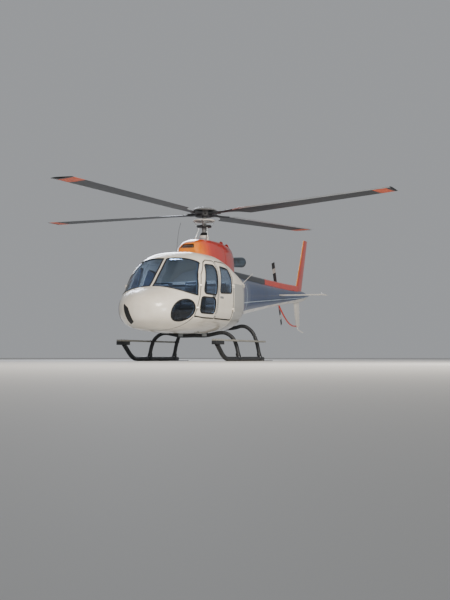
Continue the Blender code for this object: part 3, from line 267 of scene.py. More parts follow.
def painted_highlight_fade(tree, place):
    """Painted highlight: orange at the intake, fading to red at the exhaust."""
    split = add(tree, "ShaderNodeSeparateXYZ", {"Vector": place})
    share = add(tree, "ShaderNodeMapRange", {
        "Value": split.outputs["Y"], "From Min": SHIFT.y + HIGHLIGHT_FADE_START_Y, "From Max": SHIFT.y + HIGHLIGHT_FADE_END_Y
    })
    # The orange stops are painted highlight on the cowl's front, and the reds darken aft towards the exhaust.
    ramp = add(tree, "ShaderNodeValToRGB", {"Fac": share.outputs["Result"]}, stops=(
        (0.0, linear("#F58E1E")), (0.19, linear("#E44708")), (0.30, linear("#C41F08")),
        (1.0, linear("#981208")),
    ))
    return ramp.outputs["Color"]


highlit_cowl_enamel = enamel("orange to red polyurethane enamel", "#E8451A", "#96300E", 0.30, painted_highlight_fade)
orange_enamel = enamel("orange polyurethane enamel", "#D03006", "#9E2606", 0.32)
dark_enamel = enamel("dark grey polyurethane enamel", "#25292F", "#1D2024", 0.40)

# %% [markdown]
# The boom is dark blue over a cream belly stripe, with one fine light line along it and one round
# it. The blue starts on the taper behind the cabin. Ahead of it the rear body's sides are painted
# grey under a cream top: painted shade, for sides that face away from the light. Real stripes are
# masked with tape and sprayed. Each stripe here is the set of places between two lines in the side
# view, so comparing heights paints it with a hard edge, and nothing is drawn by hand.

# %% Striped blue enamel
BOOM_FRONT_Y, BOOM_REAR_Y = 2.0, 6.3
# The grey here is painted shade on the rear body's sides, below the height where their cream top begins.
BLUE, CREAM, SHADE_GREY, LINE = "#08305F", "#E9E1D2", "#A9A8A2", "#C9D8E4"
RING_LINE_Y, RING_LINE_HALF = 1.62, 0.012
BLUE_START_Y = 1.27
SHADE_EDGE_Z = 1.585
STRIPES = (
    # Z of the lower edge at the boom's front and rear, Z of the upper edge there, colour
    ((1.338, 1.680), (1.354, 1.691), LINE),
    ((0.200, 1.200), (1.170, 1.675), CREAM),
)


def compared(tree, value, sense, edge):
    """One where the value lies on this side of the edge, else zero."""
    test = add(tree, "ShaderNodeMath", operation=sense)
    for k, source in enumerate((value, edge)):
        if isinstance(source, bpy.types.NodeSocket):
            tree.links.new(source, test.inputs[k])
        else:
            test.inputs[k].default_value = source
    return test.outputs["Value"]


def between(tree, value, low, high):
    both = add(tree, "ShaderNodeMath", operation="MULTIPLY")
    tree.links.new(compared(tree, value, "GREATER_THAN", low), both.inputs[0])
    tree.links.new(compared(tree, value, "LESS_THAN", high), both.inputs[1])
    return both.outputs["Value"]


def laid_over(tree, colour, inside, paint):
    """Paint, a colour or a hex code, over a colour wherever the place is inside."""
    over = paint if isinstance(paint, bpy.types.NodeSocket) else linear(paint)
    return add(tree, "ShaderNodeMixRGB", {"Fac": inside, "Color1": colour, "Color2": over}).outputs["Color"]


def striped(tree, place):
    """Blue, with each stripe laid over it."""
    split = add(tree, "ShaderNodeSeparateXYZ", {"Vector": place})
    colour = linear(BLUE)
    for low, high, paint in STRIPES:
        edges = [
            add(tree, "ShaderNodeMapRange", {
                "Value": split.outputs["Y"], "From Min": SHIFT.y + BOOM_FRONT_Y,
                "From Max": SHIFT.y + BOOM_REAR_Y, "To Min": front, "To Max": rear,
            }, clamp=False).outputs["Result"]
            for front, rear in (low, high)
        ]
        colour = laid_over(tree, colour, between(tree, split.outputs["Z"], *edges), paint)
    ring_edges = (SHIFT.y + RING_LINE_Y - RING_LINE_HALF, SHIFT.y + RING_LINE_Y + RING_LINE_HALF)
    ring = between(tree, split.outputs["Y"], *ring_edges)
    return laid_over(tree, colour, ring, LINE)


def grey_shaded_sides(tree, place):
    """Painted shade: grey sides under a cream top, and the boom's stripes aft of them."""
    split = add(tree, "ShaderNodeSeparateXYZ", {"Vector": place})
    sides = laid_over(tree, linear(SHADE_GREY), compared(tree, split.outputs["Z"], "GREATER_THAN", SHADE_EDGE_Z), CREAM)
    aft = compared(tree, split.outputs["Y"], "GREATER_THAN", SHIFT.y + BLUE_START_Y)
    return laid_over(tree, sides, aft, striped(tree, place))


boom_enamel = enamel("striped blue polyurethane enamel", BLUE, "#0A2545", 0.30, striped)
# The rear body's grey sides in this enamel are painted shade.
rear_enamel_with_shade = enamel("grey, cream and blue polyurethane enamel", SHADE_GREY, "#6F6D68", 0.32, grey_shaded_sides, 0.10)
print("stripes:", len(STRIPES))

# %% [markdown]
# The windows are acrylic, blown to shape in one piece and tinted all through. Acrylic is clear like
# glass but bends light a little less, so its IOR is 1.49. Light crosses the pane twice on its way
# in and out of the dark cabin, which is why the windows read as navy from outside.

# %% Tinted acrylic and lamp glass
tinted_acrylic, tree, shader = new_finish("tinted acrylic")
shader.inputs["Base Color"].default_value = linear("#7F97B8")
shader.inputs["Transmission Weight"].default_value = 1.0
shader.inputs["Roughness"].default_value = 0.02
shader.inputs["IOR"].default_value = 1.49
haze = add(tree, "ShaderNodeTexNoise", {"Scale": 1.0 / (900.0 * MM), "Detail": 4.0})
bow = add(tree, "ShaderNodeBump", {"Height": haze.outputs["Fac"], "Strength": 0.15, "Distance": 3.0 * MM})
tree.links.new(bow.outputs["Normal"], shader.inputs["Normal"])

lamp_glass, tree, shader = new_finish("pressed lamp glass")
shader.inputs["Base Color"].default_value = linear("#F4F8FA")
shader.inputs["Transmission Weight"].default_value = 0.9
shader.inputs["Roughness"].default_value = 0.05
shader.inputs["IOR"].default_value = 1.52
FLUTE = 9.0 * MM
flutes = add(tree, "ShaderNodeTexWave", {"Scale": 1.0 / (FLUTE * 2.0 * math.pi)})
ridge = add(tree, "ShaderNodeBump", {"Height": flutes.outputs["Fac"], "Strength": 0.4, "Distance": 1.0 * MM})
tree.links.new(ridge.outputs["Normal"], shader.inputs["Normal"])
print("acrylic IOR 1.49")

# %% [markdown]
# Rubber, composite, plastic and powder coat are all near-black, and differ in how they scatter
# light: rubber is dull and a little grey, the resin of a blade is satin, moulded ABS has a fine
# grain from its tool, and powder coat has a soft pebbled skin. One function takes the grain's real
# size and depth, and tells them all apart by those numbers, bare metals and cloth too.

# %% Moulded, coated and cast finishes


def grained(name, colour, worn, roughness, grain, depth, metallic=0.0, strength=0.35):
    """A finish with an even grain, a second colour in worn patches, and no coat."""
    finish, tree, shader = new_finish(name)
    place = add(tree, "ShaderNodeTexCoord")
    patch = add(tree, "ShaderNodeTexNoise", {
        "Vector": place.outputs["Object"], "Scale": 5.0, "Detail": 8.0, "Roughness": 0.65
    })
    spread = add(tree, "ShaderNodeValToRGB", {"Fac": patch.outputs["Fac"]}, stops=(
        (0.45, (0.0, 0.0, 0.0, 1.0)), (0.72, (1.0, 1.0, 1.0, 1.0))
    ))
    tone = add(tree, "ShaderNodeMixRGB", {
        "Fac": spread.outputs["Color"], "Color1": linear(colour), "Color2": linear(worn)
    })
    tree.links.new(tone.outputs["Color"], shader.inputs["Base Color"])
    pebbles = add(tree, "ShaderNodeTexNoise", {
        "Vector": place.outputs["Object"], "Scale": 1.0 / grain, "Detail": 3.0
    })
    bumps = add(tree, "ShaderNodeBump", {
        "Height": pebbles.outputs["Fac"], "Strength": strength, "Distance": depth
    })
    tree.links.new(bumps.outputs["Normal"], shader.inputs["Normal"])
    shader.inputs["Roughness"].default_value = roughness
    shader.inputs["Metallic"].default_value = metallic
    return finish


door_rubber = grained("EPDM rubber", "#17181A", "#232426", 0.75, 3.0 * MM, 0.3 * MM)
blade_skin = grained("painted glass-fibre blade skin", "#1C1D1F", "#2A2B2C", 0.45, 6.0 * MM, 0.2 * MM)
moulded_abs = grained("moulded ABS", "#1B1C1E", "#242527", 0.6, 2.0 * MM, 0.3 * MM)
powder_coat = grained("black powder coat on steel tube", "#1D1F22", "#2E3033", 0.5, 5.0 * MM, 0.3 * MM)
step_paint = grained("grey non-slip step paint", "#8F8D86", "#76746E", 0.8, 4.0 * MM, 0.8 * MM)
cast_alloy = grained("painted magnesium casting", "#8E9294", "#7B7F81", 0.5, 7.0 * MM, 0.5 * MM)
leading_steel = grained("stainless leading edge strip", "#D5D7D8", "#BABCBD", 0.40, 8.0 * MM, 0.1 * MM, 1.0)
ground_steel = grained("ground steel", "#A4A6A8", "#8B8D8F", 0.28, 4.0 * MM, 0.1 * MM, 1.0)
zinc_bolts = grained("zinc plated bolts", "#9C9EA0", "#83827C", 0.38, 3.0 * MM, 0.1 * MM, 1.0)
hot_steel = grained("heat stained stainless steel", "#6E7E8A", "#5D5348", 0.42, 12.0 * MM, 0.3 * MM, 1.0)
soot = grained("soot", "#0E0D0C", "#171513", 0.95, 5.0 * MM, 0.6 * MM)
tip_paint = grained("orange tip paint", "#D9541C", "#C04A1A", 0.45, 6.0 * MM, 0.2 * MM)
band_paint = grained("light grey paint band", "#C9C6BE", "#B5B2AA", 0.45, 6.0 * MM, 0.2 * MM)
trim_cloth = grained("foam backed trim cloth", "#6E6C68", "#625F5B", 0.9, 2.5 * MM, 0.5 * MM)
floor_vinyl = grained("ribbed vinyl floor", "#4A4B4C", "#3E3F40", 0.7, 5.0 * MM, 0.6 * MM)
# A painted highlight for the upper fin's leading edge.
fin_edge_highlight = grained("pale orange painted highlight", "#E8923C", "#D07C30", 0.45, 6.0 * MM, 0.2 * MM)
cap_paint = grained("grey cap paint", "#6D6E6F", "#5B5C5C", 0.45, 6.0 * MM, 0.2 * MM)
print("grained finishes made")

# %% [markdown]
# ## The skin as one formula
# A light helicopter's cabin, rear fuselage and boom are one flowing form, made on one set of frames.
# A table gives a few of those frames: half width, lowest, widest and highest line, and how full the
# section is below and above. Between them the skin is a smooth curve. Because it is a formula, it
# gives more than points: it says how far out the skin lies at any height, and which way it faces.
# So a door, its window, its seal and its handle all sit on the same surface exactly.

# %% Skin table and its dense reading
BODY = (
    # Y, half width, lowest Z, Z of the widest line, highest Z, fullness below, fullness above
    (-2.940, 0.150, 0.815, 0.945, 1.075, 2.0, 2.0),
    (-2.915, 0.255, 0.760, 0.950, 1.140, 2.0, 2.0),
    (-2.850, 0.380, 0.705, 0.960, 1.215, 2.1, 2.0),
    (-2.740, 0.495, 0.655, 0.975, 1.285, 2.2, 2.1),
    (-2.600, 0.590, 0.620, 1.000, 1.350, 2.4, 2.2),
    (-2.440, 0.670, 0.595, 1.030, 1.415, 2.6, 2.4),
    (-2.100, 0.795, 0.570, 1.080, 1.730, 2.7, 2.6),
    (-1.720, 0.868, 0.560, 1.150, 2.065, 2.8, 2.9),
    (-1.300, 0.896, 0.558, 1.220, 2.180, 2.8, 3.2),
    (-0.900, 0.900, 0.560, 1.250, 2.180, 2.8, 3.4),
    (-0.400, 0.900, 0.570, 1.250, 2.110, 2.8, 3.2),
    (0.000, 0.885, 0.600, 1.270, 2.010, 2.8, 2.8),
    (0.250, 0.820, 0.640, 1.300, 1.955, 2.8, 2.8),
    (0.600, 0.660, 0.730, 1.340, 1.925, 2.8, 3.0),
    (1.000, 0.490, 0.840, 1.390, 1.910, 2.7, 3.0),
    (1.500, 0.355, 0.960, 1.440, 1.895, 2.5, 2.8),
    (2.000, 0.285, 1.050, 1.470, 1.890, 2.2, 2.4),
    (3.400, 0.225, 1.245, 1.555, 1.865, 2.1, 2.2),
    (5.000, 0.155, 1.445, 1.650, 1.850, 2.0, 2.0),
    (6.300, 0.110, 1.580, 1.720, 1.855, 2.0, 2.0),
    (6.900, 0.020, 1.745, 1.762, 1.780, 2.0, 2.0),
)
COWL = (
    # Y, half width, top Z
    (-0.850, 0.260, 2.330),
    (-0.780, 0.300, 2.420),
    (-0.600, 0.335, 2.500),
    (-0.420, 0.345, 2.540),
    (0.000, 0.345, 2.570),
    (0.450, 0.330, 2.575),
    (0.800, 0.295, 2.560),
    (1.000, 0.260, 2.540),
    (1.150, 0.220, 2.505),
)
COWL_BASE_Z = 1.72
COWL_FULLNESS = 3.4


def dense(table, step=0.004):
    """Every column of a station table read closely, smoothly and with no overshoot."""
    ys = np.array([row[0] for row in table])
    fine = np.arange(ys[0], ys[-1] + step / 2.0, step)
    columns = [fine]
    for k in range(1, len(table[0])):
        vs = np.array([row[k] for row in table])
        slopes = np.diff(vs) / np.diff(ys)
        turns = slopes[:-1] * slopes[1:]
        both = slopes[:-1] + slopes[1:]
        inner = np.where(turns > 0.0, 2.0 * turns / np.where(both == 0.0, 1.0, both), 0.0)
        tangents = np.concatenate([[slopes[0]], inner, [slopes[-1]]])
        i = np.clip(np.searchsorted(ys, fine, side="right") - 1, 0, len(ys) - 2)
        span = ys[i + 1] - ys[i]
        t = (fine - ys[i]) / span
        rise = (3.0 - 2.0 * t) * t * t
        columns.append(
            vs[i] * (1.0 - rise) + vs[i + 1] * rise
            + span * tangents[i] * t * (1.0 - t) ** 2 - span * tangents[i + 1] * t * t * (1.0 - t)
        )
    return columns


NOSE_BULGE = 0.018
body_columns = dense(BODY)
share = np.sqrt(np.linspace(0.0004, 0.999, 24))
nose = body_columns[0][0] - NOSE_BULGE * (1.0 - share ** 2)
middle_z = BODY[0][3]
nose_columns = [
    nose, BODY[0][1] * share, middle_z - (middle_z - BODY[0][2]) * share, np.full(24, middle_z),
    middle_z + (BODY[0][4] - middle_z) * share, np.full(24, 2.0), np.full(24, 2.0),
]
body_columns = [np.concatenate(pair) for pair in zip(nose_columns, body_columns)]
cowl_columns = dense(COWL)
NOSE_TIP_Y = float(nose[0])
print("skin from Y", round(NOSE_TIP_Y, 3), "to", BODY[-1][0])

# %% [markdown]
# Each section is a superellipse, the curve that a draughtsman gets by pulling the corners of an
# ellipse outward. `skin_value` is below zero inside the skin and above zero outside, and the way it
# grows fastest is the way the skin faces. Those directions become the shading normals of every
# panel, so a panel cut into odd shapes still shades as one smooth sheet.

# %% Skin formulas


def section_at(y, inset=0.0):
    half, low, middle, high, below, above = (np.interp(y, body_columns[0], c) for c in body_columns[1:])
    return half - inset, low + inset, middle, high - inset, below, above


def skin_x(y, z, inset=0.0):
    """How far out the skin lies at this station and height."""
    half, low, middle, high, below, above = section_at(y, inset)
    power = above if z > middle else below
    part = (z - middle) / ((high - middle) if z > middle else (middle - low))
    return float(half * max(0.0, 1.0 - abs(part) ** power) ** (1.0 / power))


def skin_low(x, y):
    half, low, middle, _, below, _ = section_at(y)
    return float(middle - (middle - low) * max(0.0, 1.0 - (abs(x) / half) ** below) ** (1.0 / below))


def skin_high(x, y):
    half, _, middle, high, _, above = section_at(y)
    return float(middle + (high - middle) * max(0.0, 1.0 - (abs(x) / half) ** above) ** (1.0 / above))


def skin_value(points):
    half, low, middle, high, below, above = section_at(points[:, 1])
    lift = points[:, 2] - middle
    power = np.where(lift > 0.0, above, below)
    reach = np.where(lift > 0.0, high - middle, middle - low)
    return (np.abs(points[:, 0] / half) ** power + np.abs(lift / reach) ** power) ** (1.0 / power) - 1.0


def cowl_at(y):
    """Half width and top of the cowl at one station, or at many."""
    return [np.interp(y, cowl_columns[0], column) for column in cowl_columns[1:]]


def cowl_value(points):
    half, top = cowl_at(points[:, 1])
    lift = np.maximum(points[:, 2] - COWL_BASE_Z, 1e-4) / (top - COWL_BASE_Z)
    both = np.abs(points[:, 0] / half) ** COWL_FULLNESS + lift ** COWL_FULLNESS
    return both ** (1.0 / COWL_FULLNESS) - 1.0


def facing(value, points, step=0.002):
    """Unit directions in which the value grows, at these points."""
    ways = []
    for axis in range(3):
        shift = np.zeros(3)
        shift[axis] = step
        ways.append(value(points + shift) - value(points - shift))
    ways = np.stack(ways, axis=1)
    return ways / np.maximum(np.linalg.norm(ways, axis=1, keepdims=True), 1e-12)


def body_ring(y, inset=0.0, count=120, place=None):
    half, low, middle, high, below, above = section_at(y, inset)
    turn = 2.0 * np.pi * np.arange(count) / count
    side, lift = np.sin(turn), -np.cos(turn)
    power = np.where(lift > 0.0, above, below)
    reach = (np.abs(side) ** power + np.abs(lift) ** power) ** (-1.0 / power)
    z = middle + lift * reach * np.where(lift > 0.0, high - middle, middle - low)
    return np.stack([half * side * reach, np.full(count, y if place is None else place), z], axis=1)


def cowl_ring(y, inset=0.0, place=None, count=80):
    half, top = (size - inset for size in cowl_at(y))
    turn = np.pi * np.arange(count + 1) / count
    side, lift = np.cos(turn), np.sin(turn)
    reach = (np.abs(side) ** COWL_FULLNESS + np.abs(lift) ** COWL_FULLNESS) ** (-1.0 / COWL_FULLNESS)
    z = COWL_BASE_Z + (top - COWL_BASE_Z) * lift * reach
    return np.stack([half * side * reach, np.full(count + 1, y if place is None else place), z], axis=1)


def on_skin(y, z, side, proud=0.0):
    return Vector((side * (skin_x(y, z) + proud), y, z))


print("widest section, half width", round(skin_x(-0.9, 1.25), 3))

# %% [markdown]
# ## Making, cutting and finishing pieces
# Pieces are made as closed solids and cut by closed cutters, as a sheet-metal shop cuts panels from
# one pressed skin. `carve` runs one boolean and keeps its result, `finish_piece` shifts the mesh to
# the frame's place, gives it its finish and normals, and hands it to the body that it rides on.

# %% Solid tools
GUIDES = []


def mesh_object(name, verts, faces):
    mesh = bpy.data.meshes.new(name)
    mesh.from_pydata([tuple(v) for v in verts], [], faces)
    thing = bpy.data.objects.new(name, mesh)
    bpy.context.scene.collection.objects.link(thing)
    return thing


def from_bmesh(name, body):
    bmesh.ops.recalc_face_normals(body, faces=body.faces)
    mesh = bpy.data.meshes.new(name)
    body.to_mesh(mesh)
    body.free()
    thing = bpy.data.objects.new(name, mesh)
    bpy.context.scene.collection.objects.link(thing)
    return thing


def loft(name, rings, closed=False):
    """A closed body through rings of equal point counts."""
    count = len(rings[0])
    verts = [point for ring in rings for point in ring]
    faces = []
    rows = len(rings)
    for r in range(rows if closed else rows - 1):
        near, far = r * count, (r + 1) % rows * count
        for i in range(count):
            j = (i + 1) % count
            faces.append((near + i, near + j, far + j, far + i))
    if not closed:
        faces.append(tuple(range(count - 1, -1, -1)))
        faces.append(tuple((rows - 1) * count + i for i in range(count)))
    thing = mesh_object(name, verts, faces)
    body = bmesh.new()
    body.from_mesh(thing.data)
    bmesh.ops.recalc_face_normals(body, faces=body.faces)
    body.to_mesh(thing.data)
    body.free()
    return thing


def prism(name, outline, low, high, axis="X"):
    places = {
        "X": lambda u, v, w: (w, u, v),
        "Y": lambda u, v, w: (u, w, v),
        "Z": lambda u, v, w: (u, v, w),
    }
    return loft(name, [[places[axis](u, v, w) for u, v in outline] for w in (low, high)])


def block(name, low, high):
    outline = [(low[0], low[1]), (high[0], low[1]), (high[0], high[1]), (low[0], high[1])]
    return prism(name, outline, low[2], high[2], "Z")


def guide(thing):
    GUIDES.append(thing)
    return thing


def gather(name, things):
    """Joins the meshes of many small pieces in one object."""
    body = bmesh.new()
    for thing in things:
        body.from_mesh(thing.data)
        bpy.data.objects.remove(thing, do_unlink=True)
    return from_bmesh(name, body)


def paint_faces(thing, finishes, pick):
    """Lays several finishes on one mesh. Pick gives the number of the finish for a face."""
    thing.data.materials.clear()
    for finish in finishes:
        thing.data.materials.append(finish)
    for face in thing.data.polygons:
        face.material_index = pick(face)


def settle(thing):
    """Keeps what the modifiers make as the object's own mesh."""
    graph = bpy.context.evaluated_depsgraph_get()
    made = bpy.data.meshes.new_from_object(thing.evaluated_get(graph))
    old = thing.data
    thing.modifiers.clear()
    thing.data = made
    bpy.data.meshes.remove(old)
    return thing


def carve(thing, cutter, operation="DIFFERENCE", solver="MANIFOLD"):
    change = thing.modifiers.new("carve", "BOOLEAN")
    change.operation = operation
    change.solver = solver
    change.object = cutter
    settle(thing)
    if not thing.data.polygons:
        print("nothing left of", thing.name, "after", operation, cutter.name)
    return thing


def twin(name, thing):
    copy = bpy.data.objects.new(name, thing.data.copy())
    bpy.context.scene.collection.objects.link(copy)
    return copy


def mirrored(cutter):
    other = guide(twin(f"{cutter.name}_mirrored", cutter))
    other.data.transform(Matrix.Scale(-1.0, 4, (1.0, 0.0, 0.0)))
    other.data.flip_normals()
    return other


def on_side(cutter, side):
    return cutter if side == PORT else mirrored(cutter)


def flip(point, side):
    return Vector((point[0] * side, point[1], point[2]))


def soften(thing, width, segments=2, angle=math.radians(35.0)):
    """Rounds the hard edges of a machined or pressed piece."""
    change = thing.modifiers.new("rounded edges", "BEVEL")
    change.width = width
    change.segments = segments
    change.limit_method = "ANGLE"
    change.angle_limit = angle
    return settle(thing)


def finish_piece(thing, finish, replaces=(), value=None, sharp=32.0, body="fuselage", name=None):
    """Shades, paints, places and hangs one piece, under its own name unless another is given."""
    thing.name = name or thing.name
    mesh = thing.data
    mesh.name = thing.name
    if finish is not None:
        mesh.materials.clear()
        mesh.materials.append(finish)
    mesh.polygons.foreach_set("use_smooth", [True] * len(mesh.polygons))
    if value is None:
        mesh.set_sharp_from_angle(angle=math.radians(sharp))
    else:
        shade_by_formula(mesh, value)
    mesh.transform(Matrix.Translation(SHIFT))
    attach(thing, body)
    if replaces:
        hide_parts(*replaces)
    return thing


def shade_by_formula(mesh, value, match=0.80):
    """Gives faces that follow the formula its own normals, and leaves the cut edges flat."""
    points = np.zeros(len(mesh.vertices) * 3)
    mesh.vertices.foreach_get("co", points)
    points = points.reshape(-1, 3)
    ways = facing(value, points)
    flat = np.zeros(len(mesh.polygons) * 3)
    mesh.polygons.foreach_get("normal", flat)
    flat = flat.reshape(-1, 3)
    totals = np.zeros(len(mesh.polygons), dtype=np.int64)
    mesh.polygons.foreach_get("loop_total", totals)
    owner = np.repeat(np.arange(len(mesh.polygons)), totals)
    corner = np.zeros(len(mesh.loops), dtype=np.int64)
    mesh.loops.foreach_get("vertex_index", corner)
    smooth = ways[corner]
    own = flat[owner]
    agree = np.sum(smooth * own, axis=1)
    normals = np.where((agree > match)[:, None], smooth, own)
    normals = np.where((agree < -match)[:, None], -smooth, normals)
    mesh.normals_split_custom_set([tuple(n) for n in normals])


print("tools ready")

# %% [markdown]
# Outlines are drawn in the side view, as the doors' makers would loft them. `rounded` turns corners
# into short curves and `grown` moves an outline outward, for the gap round a door or a pane's fit.

# %% Outline tools


def rounded(outline, radius, steps=6):
    points = []
    for i, spot in enumerate(outline):
        corner = Vector(spot)
        to_last = Vector(outline[i - 1]) - corner
        to_next = Vector(outline[(i + 1) % len(outline)]) - corner
        half = to_last.angle(to_next) / 2.0
        reach = min(radius / math.tan(half), 0.45 * to_last.length, 0.45 * to_next.length)
        start = corner + to_last.normalized() * reach
        end = corner + to_next.normalized() * reach
        for k in range(steps + 1):
            t = k / steps
            mix = start * (1.0 - t) ** 2 + corner * 2.0 * t * (1.0 - t) + end * t * t
            points.append((mix.x, mix.y))
    return points


def grown(outline, amount):
    area = sum(a[0] * b[1] - b[0] * a[1] for a, b in zip(outline[-1:] + outline[:-1], outline))
    side = 1.0 if area > 0.0 else -1.0
    points = []
    for i, spot in enumerate(outline):
        corner = Vector(spot)
        into = (corner - Vector(outline[i - 1])).normalized()
        away = (Vector(outline[(i + 1) % len(outline)]) - corner).normalized()
        normal = (Vector((into.y + away.y, -into.x - away.x)) * side).normalized()
        lean = max(0.3, normal.dot(Vector((into.y, -into.x)) * side))
        moved = corner + normal * (amount / lean)
        points.append((moved.x, moved.y))
    return points


def circle(count, start=0.0):
    """Cosine and sine of evenly spaced turns. A start of one half begins midway between two."""
    turns = [2.0 * math.pi * (k + start) / count for k in range(count)]
    return [(math.cos(turn), math.sin(turn)) for turn in turns]


def ellipse(centre, halves, tilt, count=48):
    points = []
    for cosine, sine in circle(count):
        along, up = halves[0] * cosine, halves[1] * sine
        points.append((
            centre[0] + along * math.cos(tilt) - up * math.sin(tilt),
            centre[1] + along * math.sin(tilt) + up * math.cos(tilt),
        ))
    return points


def side_cutter(name, outline, sweep=0.0, middle=0.0, low=0.2, high=1.5):
    return guide(loft(name, [[(x, y + sweep * (x - middle), z) for y, z in outline] for x in (low, high)]))


print("outline tools ready")

# %% [markdown]
# ## Rods, tubes, turned parts and trims
# Much of a helicopter is tube and turned metal. `rod` sweeps a round section along points, `turned`
# spins a profile about an upright axis as a lathe does, and `strip` lays a low moulded section along
# a line on a surface, which makes seals, drip rails and cover strips.

# %% Rods and turned parts


def across(direction):
    up = Vector((0, 0, 1)) if abs(direction.normalized().z) < 0.9 else Vector((0, 1, 0))
    side = direction.cross(up).normalized()
    return side, side.cross(direction).normalized()


def rod(name, points, radii, sides=24):
    points = [Vector(point) for point in points]
    radii = radii if isinstance(radii, (list, tuple)) else [radii] * len(points)
    rings = []
    for i, point in enumerate(points):
        before, after = points[max(i - 1, 0)], points[min(i + 1, len(points) - 1)]
        side, up = across(after - before)
        rings.append([point + (side * c + up * s) * radii[i] for c, s in circle(sides, 0.5)])
    return loft(name, rings)


def bend(points, steps=8):
    points = [Vector(point) for point in points]
    padded = [2 * points[0] - points[1], *points, 2 * points[-1] - points[-2]]
    path = []
    for i in range(1, len(padded) - 2):
        a, b, c, d = padded[i - 1:i + 3]
        for k in range(steps):
            t = k / steps
            path.append(0.5 * (
                2 * b + (c - a) * t + (2 * a - 5 * b + 4 * c - d) * t * t + (3 * b - a - 3 * c + d) * t ** 3
            ))
    path.append(points[-1])
    return path


def turned(name, profile, sides=48, centre=(0.0, 0.0)):
    return loft(name, [
        [(centre[0] + radius * c, centre[1] + radius * s, height) for c, s in circle(sides, 0.5)]
        for radius, height in profile
    ])


def ring_body(name, profile, sides=64):
    rings = [[(r * c, r * s, z) for r, z in profile] for c, s in circle(sides)]
    return loft(name, rings, closed=True)


def spaced(points, gap):
    """The same line with points at an even spacing."""
    points = [Vector(point) for point in points]
    lengths = [0.0]
    for a, b in zip(points, points[1:]):
        lengths.append(lengths[-1] + (b - a).length)
    count = max(2, round(lengths[-1] / gap))
    result = []
    for k in range(count + 1):
        want = lengths[-1] * k / count
        i = min(len(points) - 2, max(0, int(np.searchsorted(lengths, want, side="right")) - 1))
        span = lengths[i + 1] - lengths[i]
        result.append(points[i].lerp(points[i + 1], (want - lengths[i]) / span if span else 0.0))
    return result


def strip(name, points, width, height, value=skin_value, closed=True, sink=0.004):
    """A low moulded section along a line on a surface."""
    if closed:
        points = points[:-1] if (points[0] - points[-1]).length < 1e-6 else points
    ways = facing(value, np.array([tuple(p) for p in points]))
    half = ((-0.5, -sink), (-0.5, height * 0.5), (-0.32, height))
    shape = half + tuple((-u, v) for u, v in half[::-1])
    rings = []
    for i, point in enumerate(points):
        before = points[i - 1] if closed or i else points[0]
        after = points[(i + 1) % len(points)] if closed or i < len(points) - 1 else points[-1]
        out = Vector(ways[i])
        cross = out.cross(after - before).normalized()
        rings.append([point + cross * width * u + out * v for u, v in shape])
    return loft(name, rings, closed=closed)


def side_route(outline, side, gap=0.012, closed=True):
    """A line in the side view laid on the skin, with even spacing."""
    corners = list(outline) + ([outline[0]] if closed else [])
    points = []
    for (y0, z0), (y1, z1) in zip(corners, corners[1:]):
        for k in range(12):
            t = k / 12.0
            points.append(on_skin(y0 + (y1 - y0) * t, z0 + (z1 - z0) * t, side))
    points.append(on_skin(*corners[-1], side))
    return spaced(points, gap)


print("rod and trim tools ready")

# %% [markdown]
# ## Cabin shells
# The cabin of the real machine is laid up from glass-fibre panels about a thumb thick, with a foam
# core, bonded to a frame. A closed solid of the outer skin, less a solid of its inside, is that
# panel's blank. Each shell is the blank kept inside its own region, and its windows are cut through.

# %% Blanks of the cabin
WALL = 0.040
SEAM = 0.0015
SILL_Z = 0.84
DOOR_TOP_Z = 1.978
SEAM_LOW = (-2.47, 0.40)
SEAM_HIGH = (-2.125, SILL_Z)
CABIN_END_Y = -0.47
ROOF_END_Y = 0.05
ROOF_SPLIT_Z = 1.66
BOOM_START_Y = 2.00
DOOR_GAP = 0.010
FAR = 1.5
GLASS_DEPTH = 0.006
GLASS_THICK = 0.008
RING_GAP = 0.03
NOSE_GROWTH = 0.0006
CLEARANCE = 0.001
SWING_CLEARANCE = 0.007
BEDDING = 0.0006


def stations(start, end, gap=RING_GAP):
    return list(np.linspace(start, end, max(2, int(round((end - start) / gap)) + 1)))


def solid_form(name, ys, inset=0.0, start_shift=0.0, end_shift=0.0, count=120):
    """The skin's form between stations, drawn in by an inset, with its ends moved along."""
    rings = []
    for i, y in enumerate(ys):
        fade = min(1.0, max(0.0, (-1.9 - y) / 0.9))
        place = y + inset * fade
        place += start_shift if i == 0 else 0.0
        place += end_shift if i == len(ys) - 1 else 0.0
        rings.append(body_ring(y, inset, count, place))
    return guide(loft(name, rings))


nose_ys = [NOSE_TIP_Y, *(NOSE_TIP_Y + NOSE_GROWTH * k * k for k in range(1, 8))]
front_ys = nose_ys + [y for y in stations(-2.925, ROOF_END_Y + 0.04) if y > nose_ys[-1] + 0.004]
inner_ys = [y for y in front_ys if y > -2.94]
skin = solid_form("cabin_skin", front_ys)
inside = solid_form("cabin_inside", inner_ys, WALL, end_shift=0.02)
clear_of_cabin = solid_form("clear_of_cabin", front_ys, -CLEARANCE, end_shift=0.02)
glass_out = solid_form("glass_outer_face", front_ys[3:], GLASS_DEPTH)
glass_in = solid_form("glass_inner_face", inner_ys, GLASS_DEPTH + GLASS_THICK, end_shift=0.02)
cabin_panel = guide(carve(twin("cabin_panel", skin), inside))
glass_panel = guide(carve(twin("glass_panel", glass_out), glass_in))
aft_ys = stations(CABIN_END_Y + SEAM, BOOM_START_Y - SEAM)
aft_skin = solid_form("aft_skin", aft_ys)
aft_inside = solid_form("aft_inside", aft_ys, WALL, start_shift=WALL, end_shift=0.02)
aft_plain_inside = solid_form("aft_plain_inside", aft_ys, WALL, -0.02, 0.02)
aft_panel = guide(carve(twin("aft_panel", aft_skin), aft_plain_inside))
clear_of_aft = solid_form("clear_of_aft_body", aft_ys, -CLEARANCE, -0.3, CLEARANCE)
print("cabin panel faces:", len(cabin_panel.data.polygons))

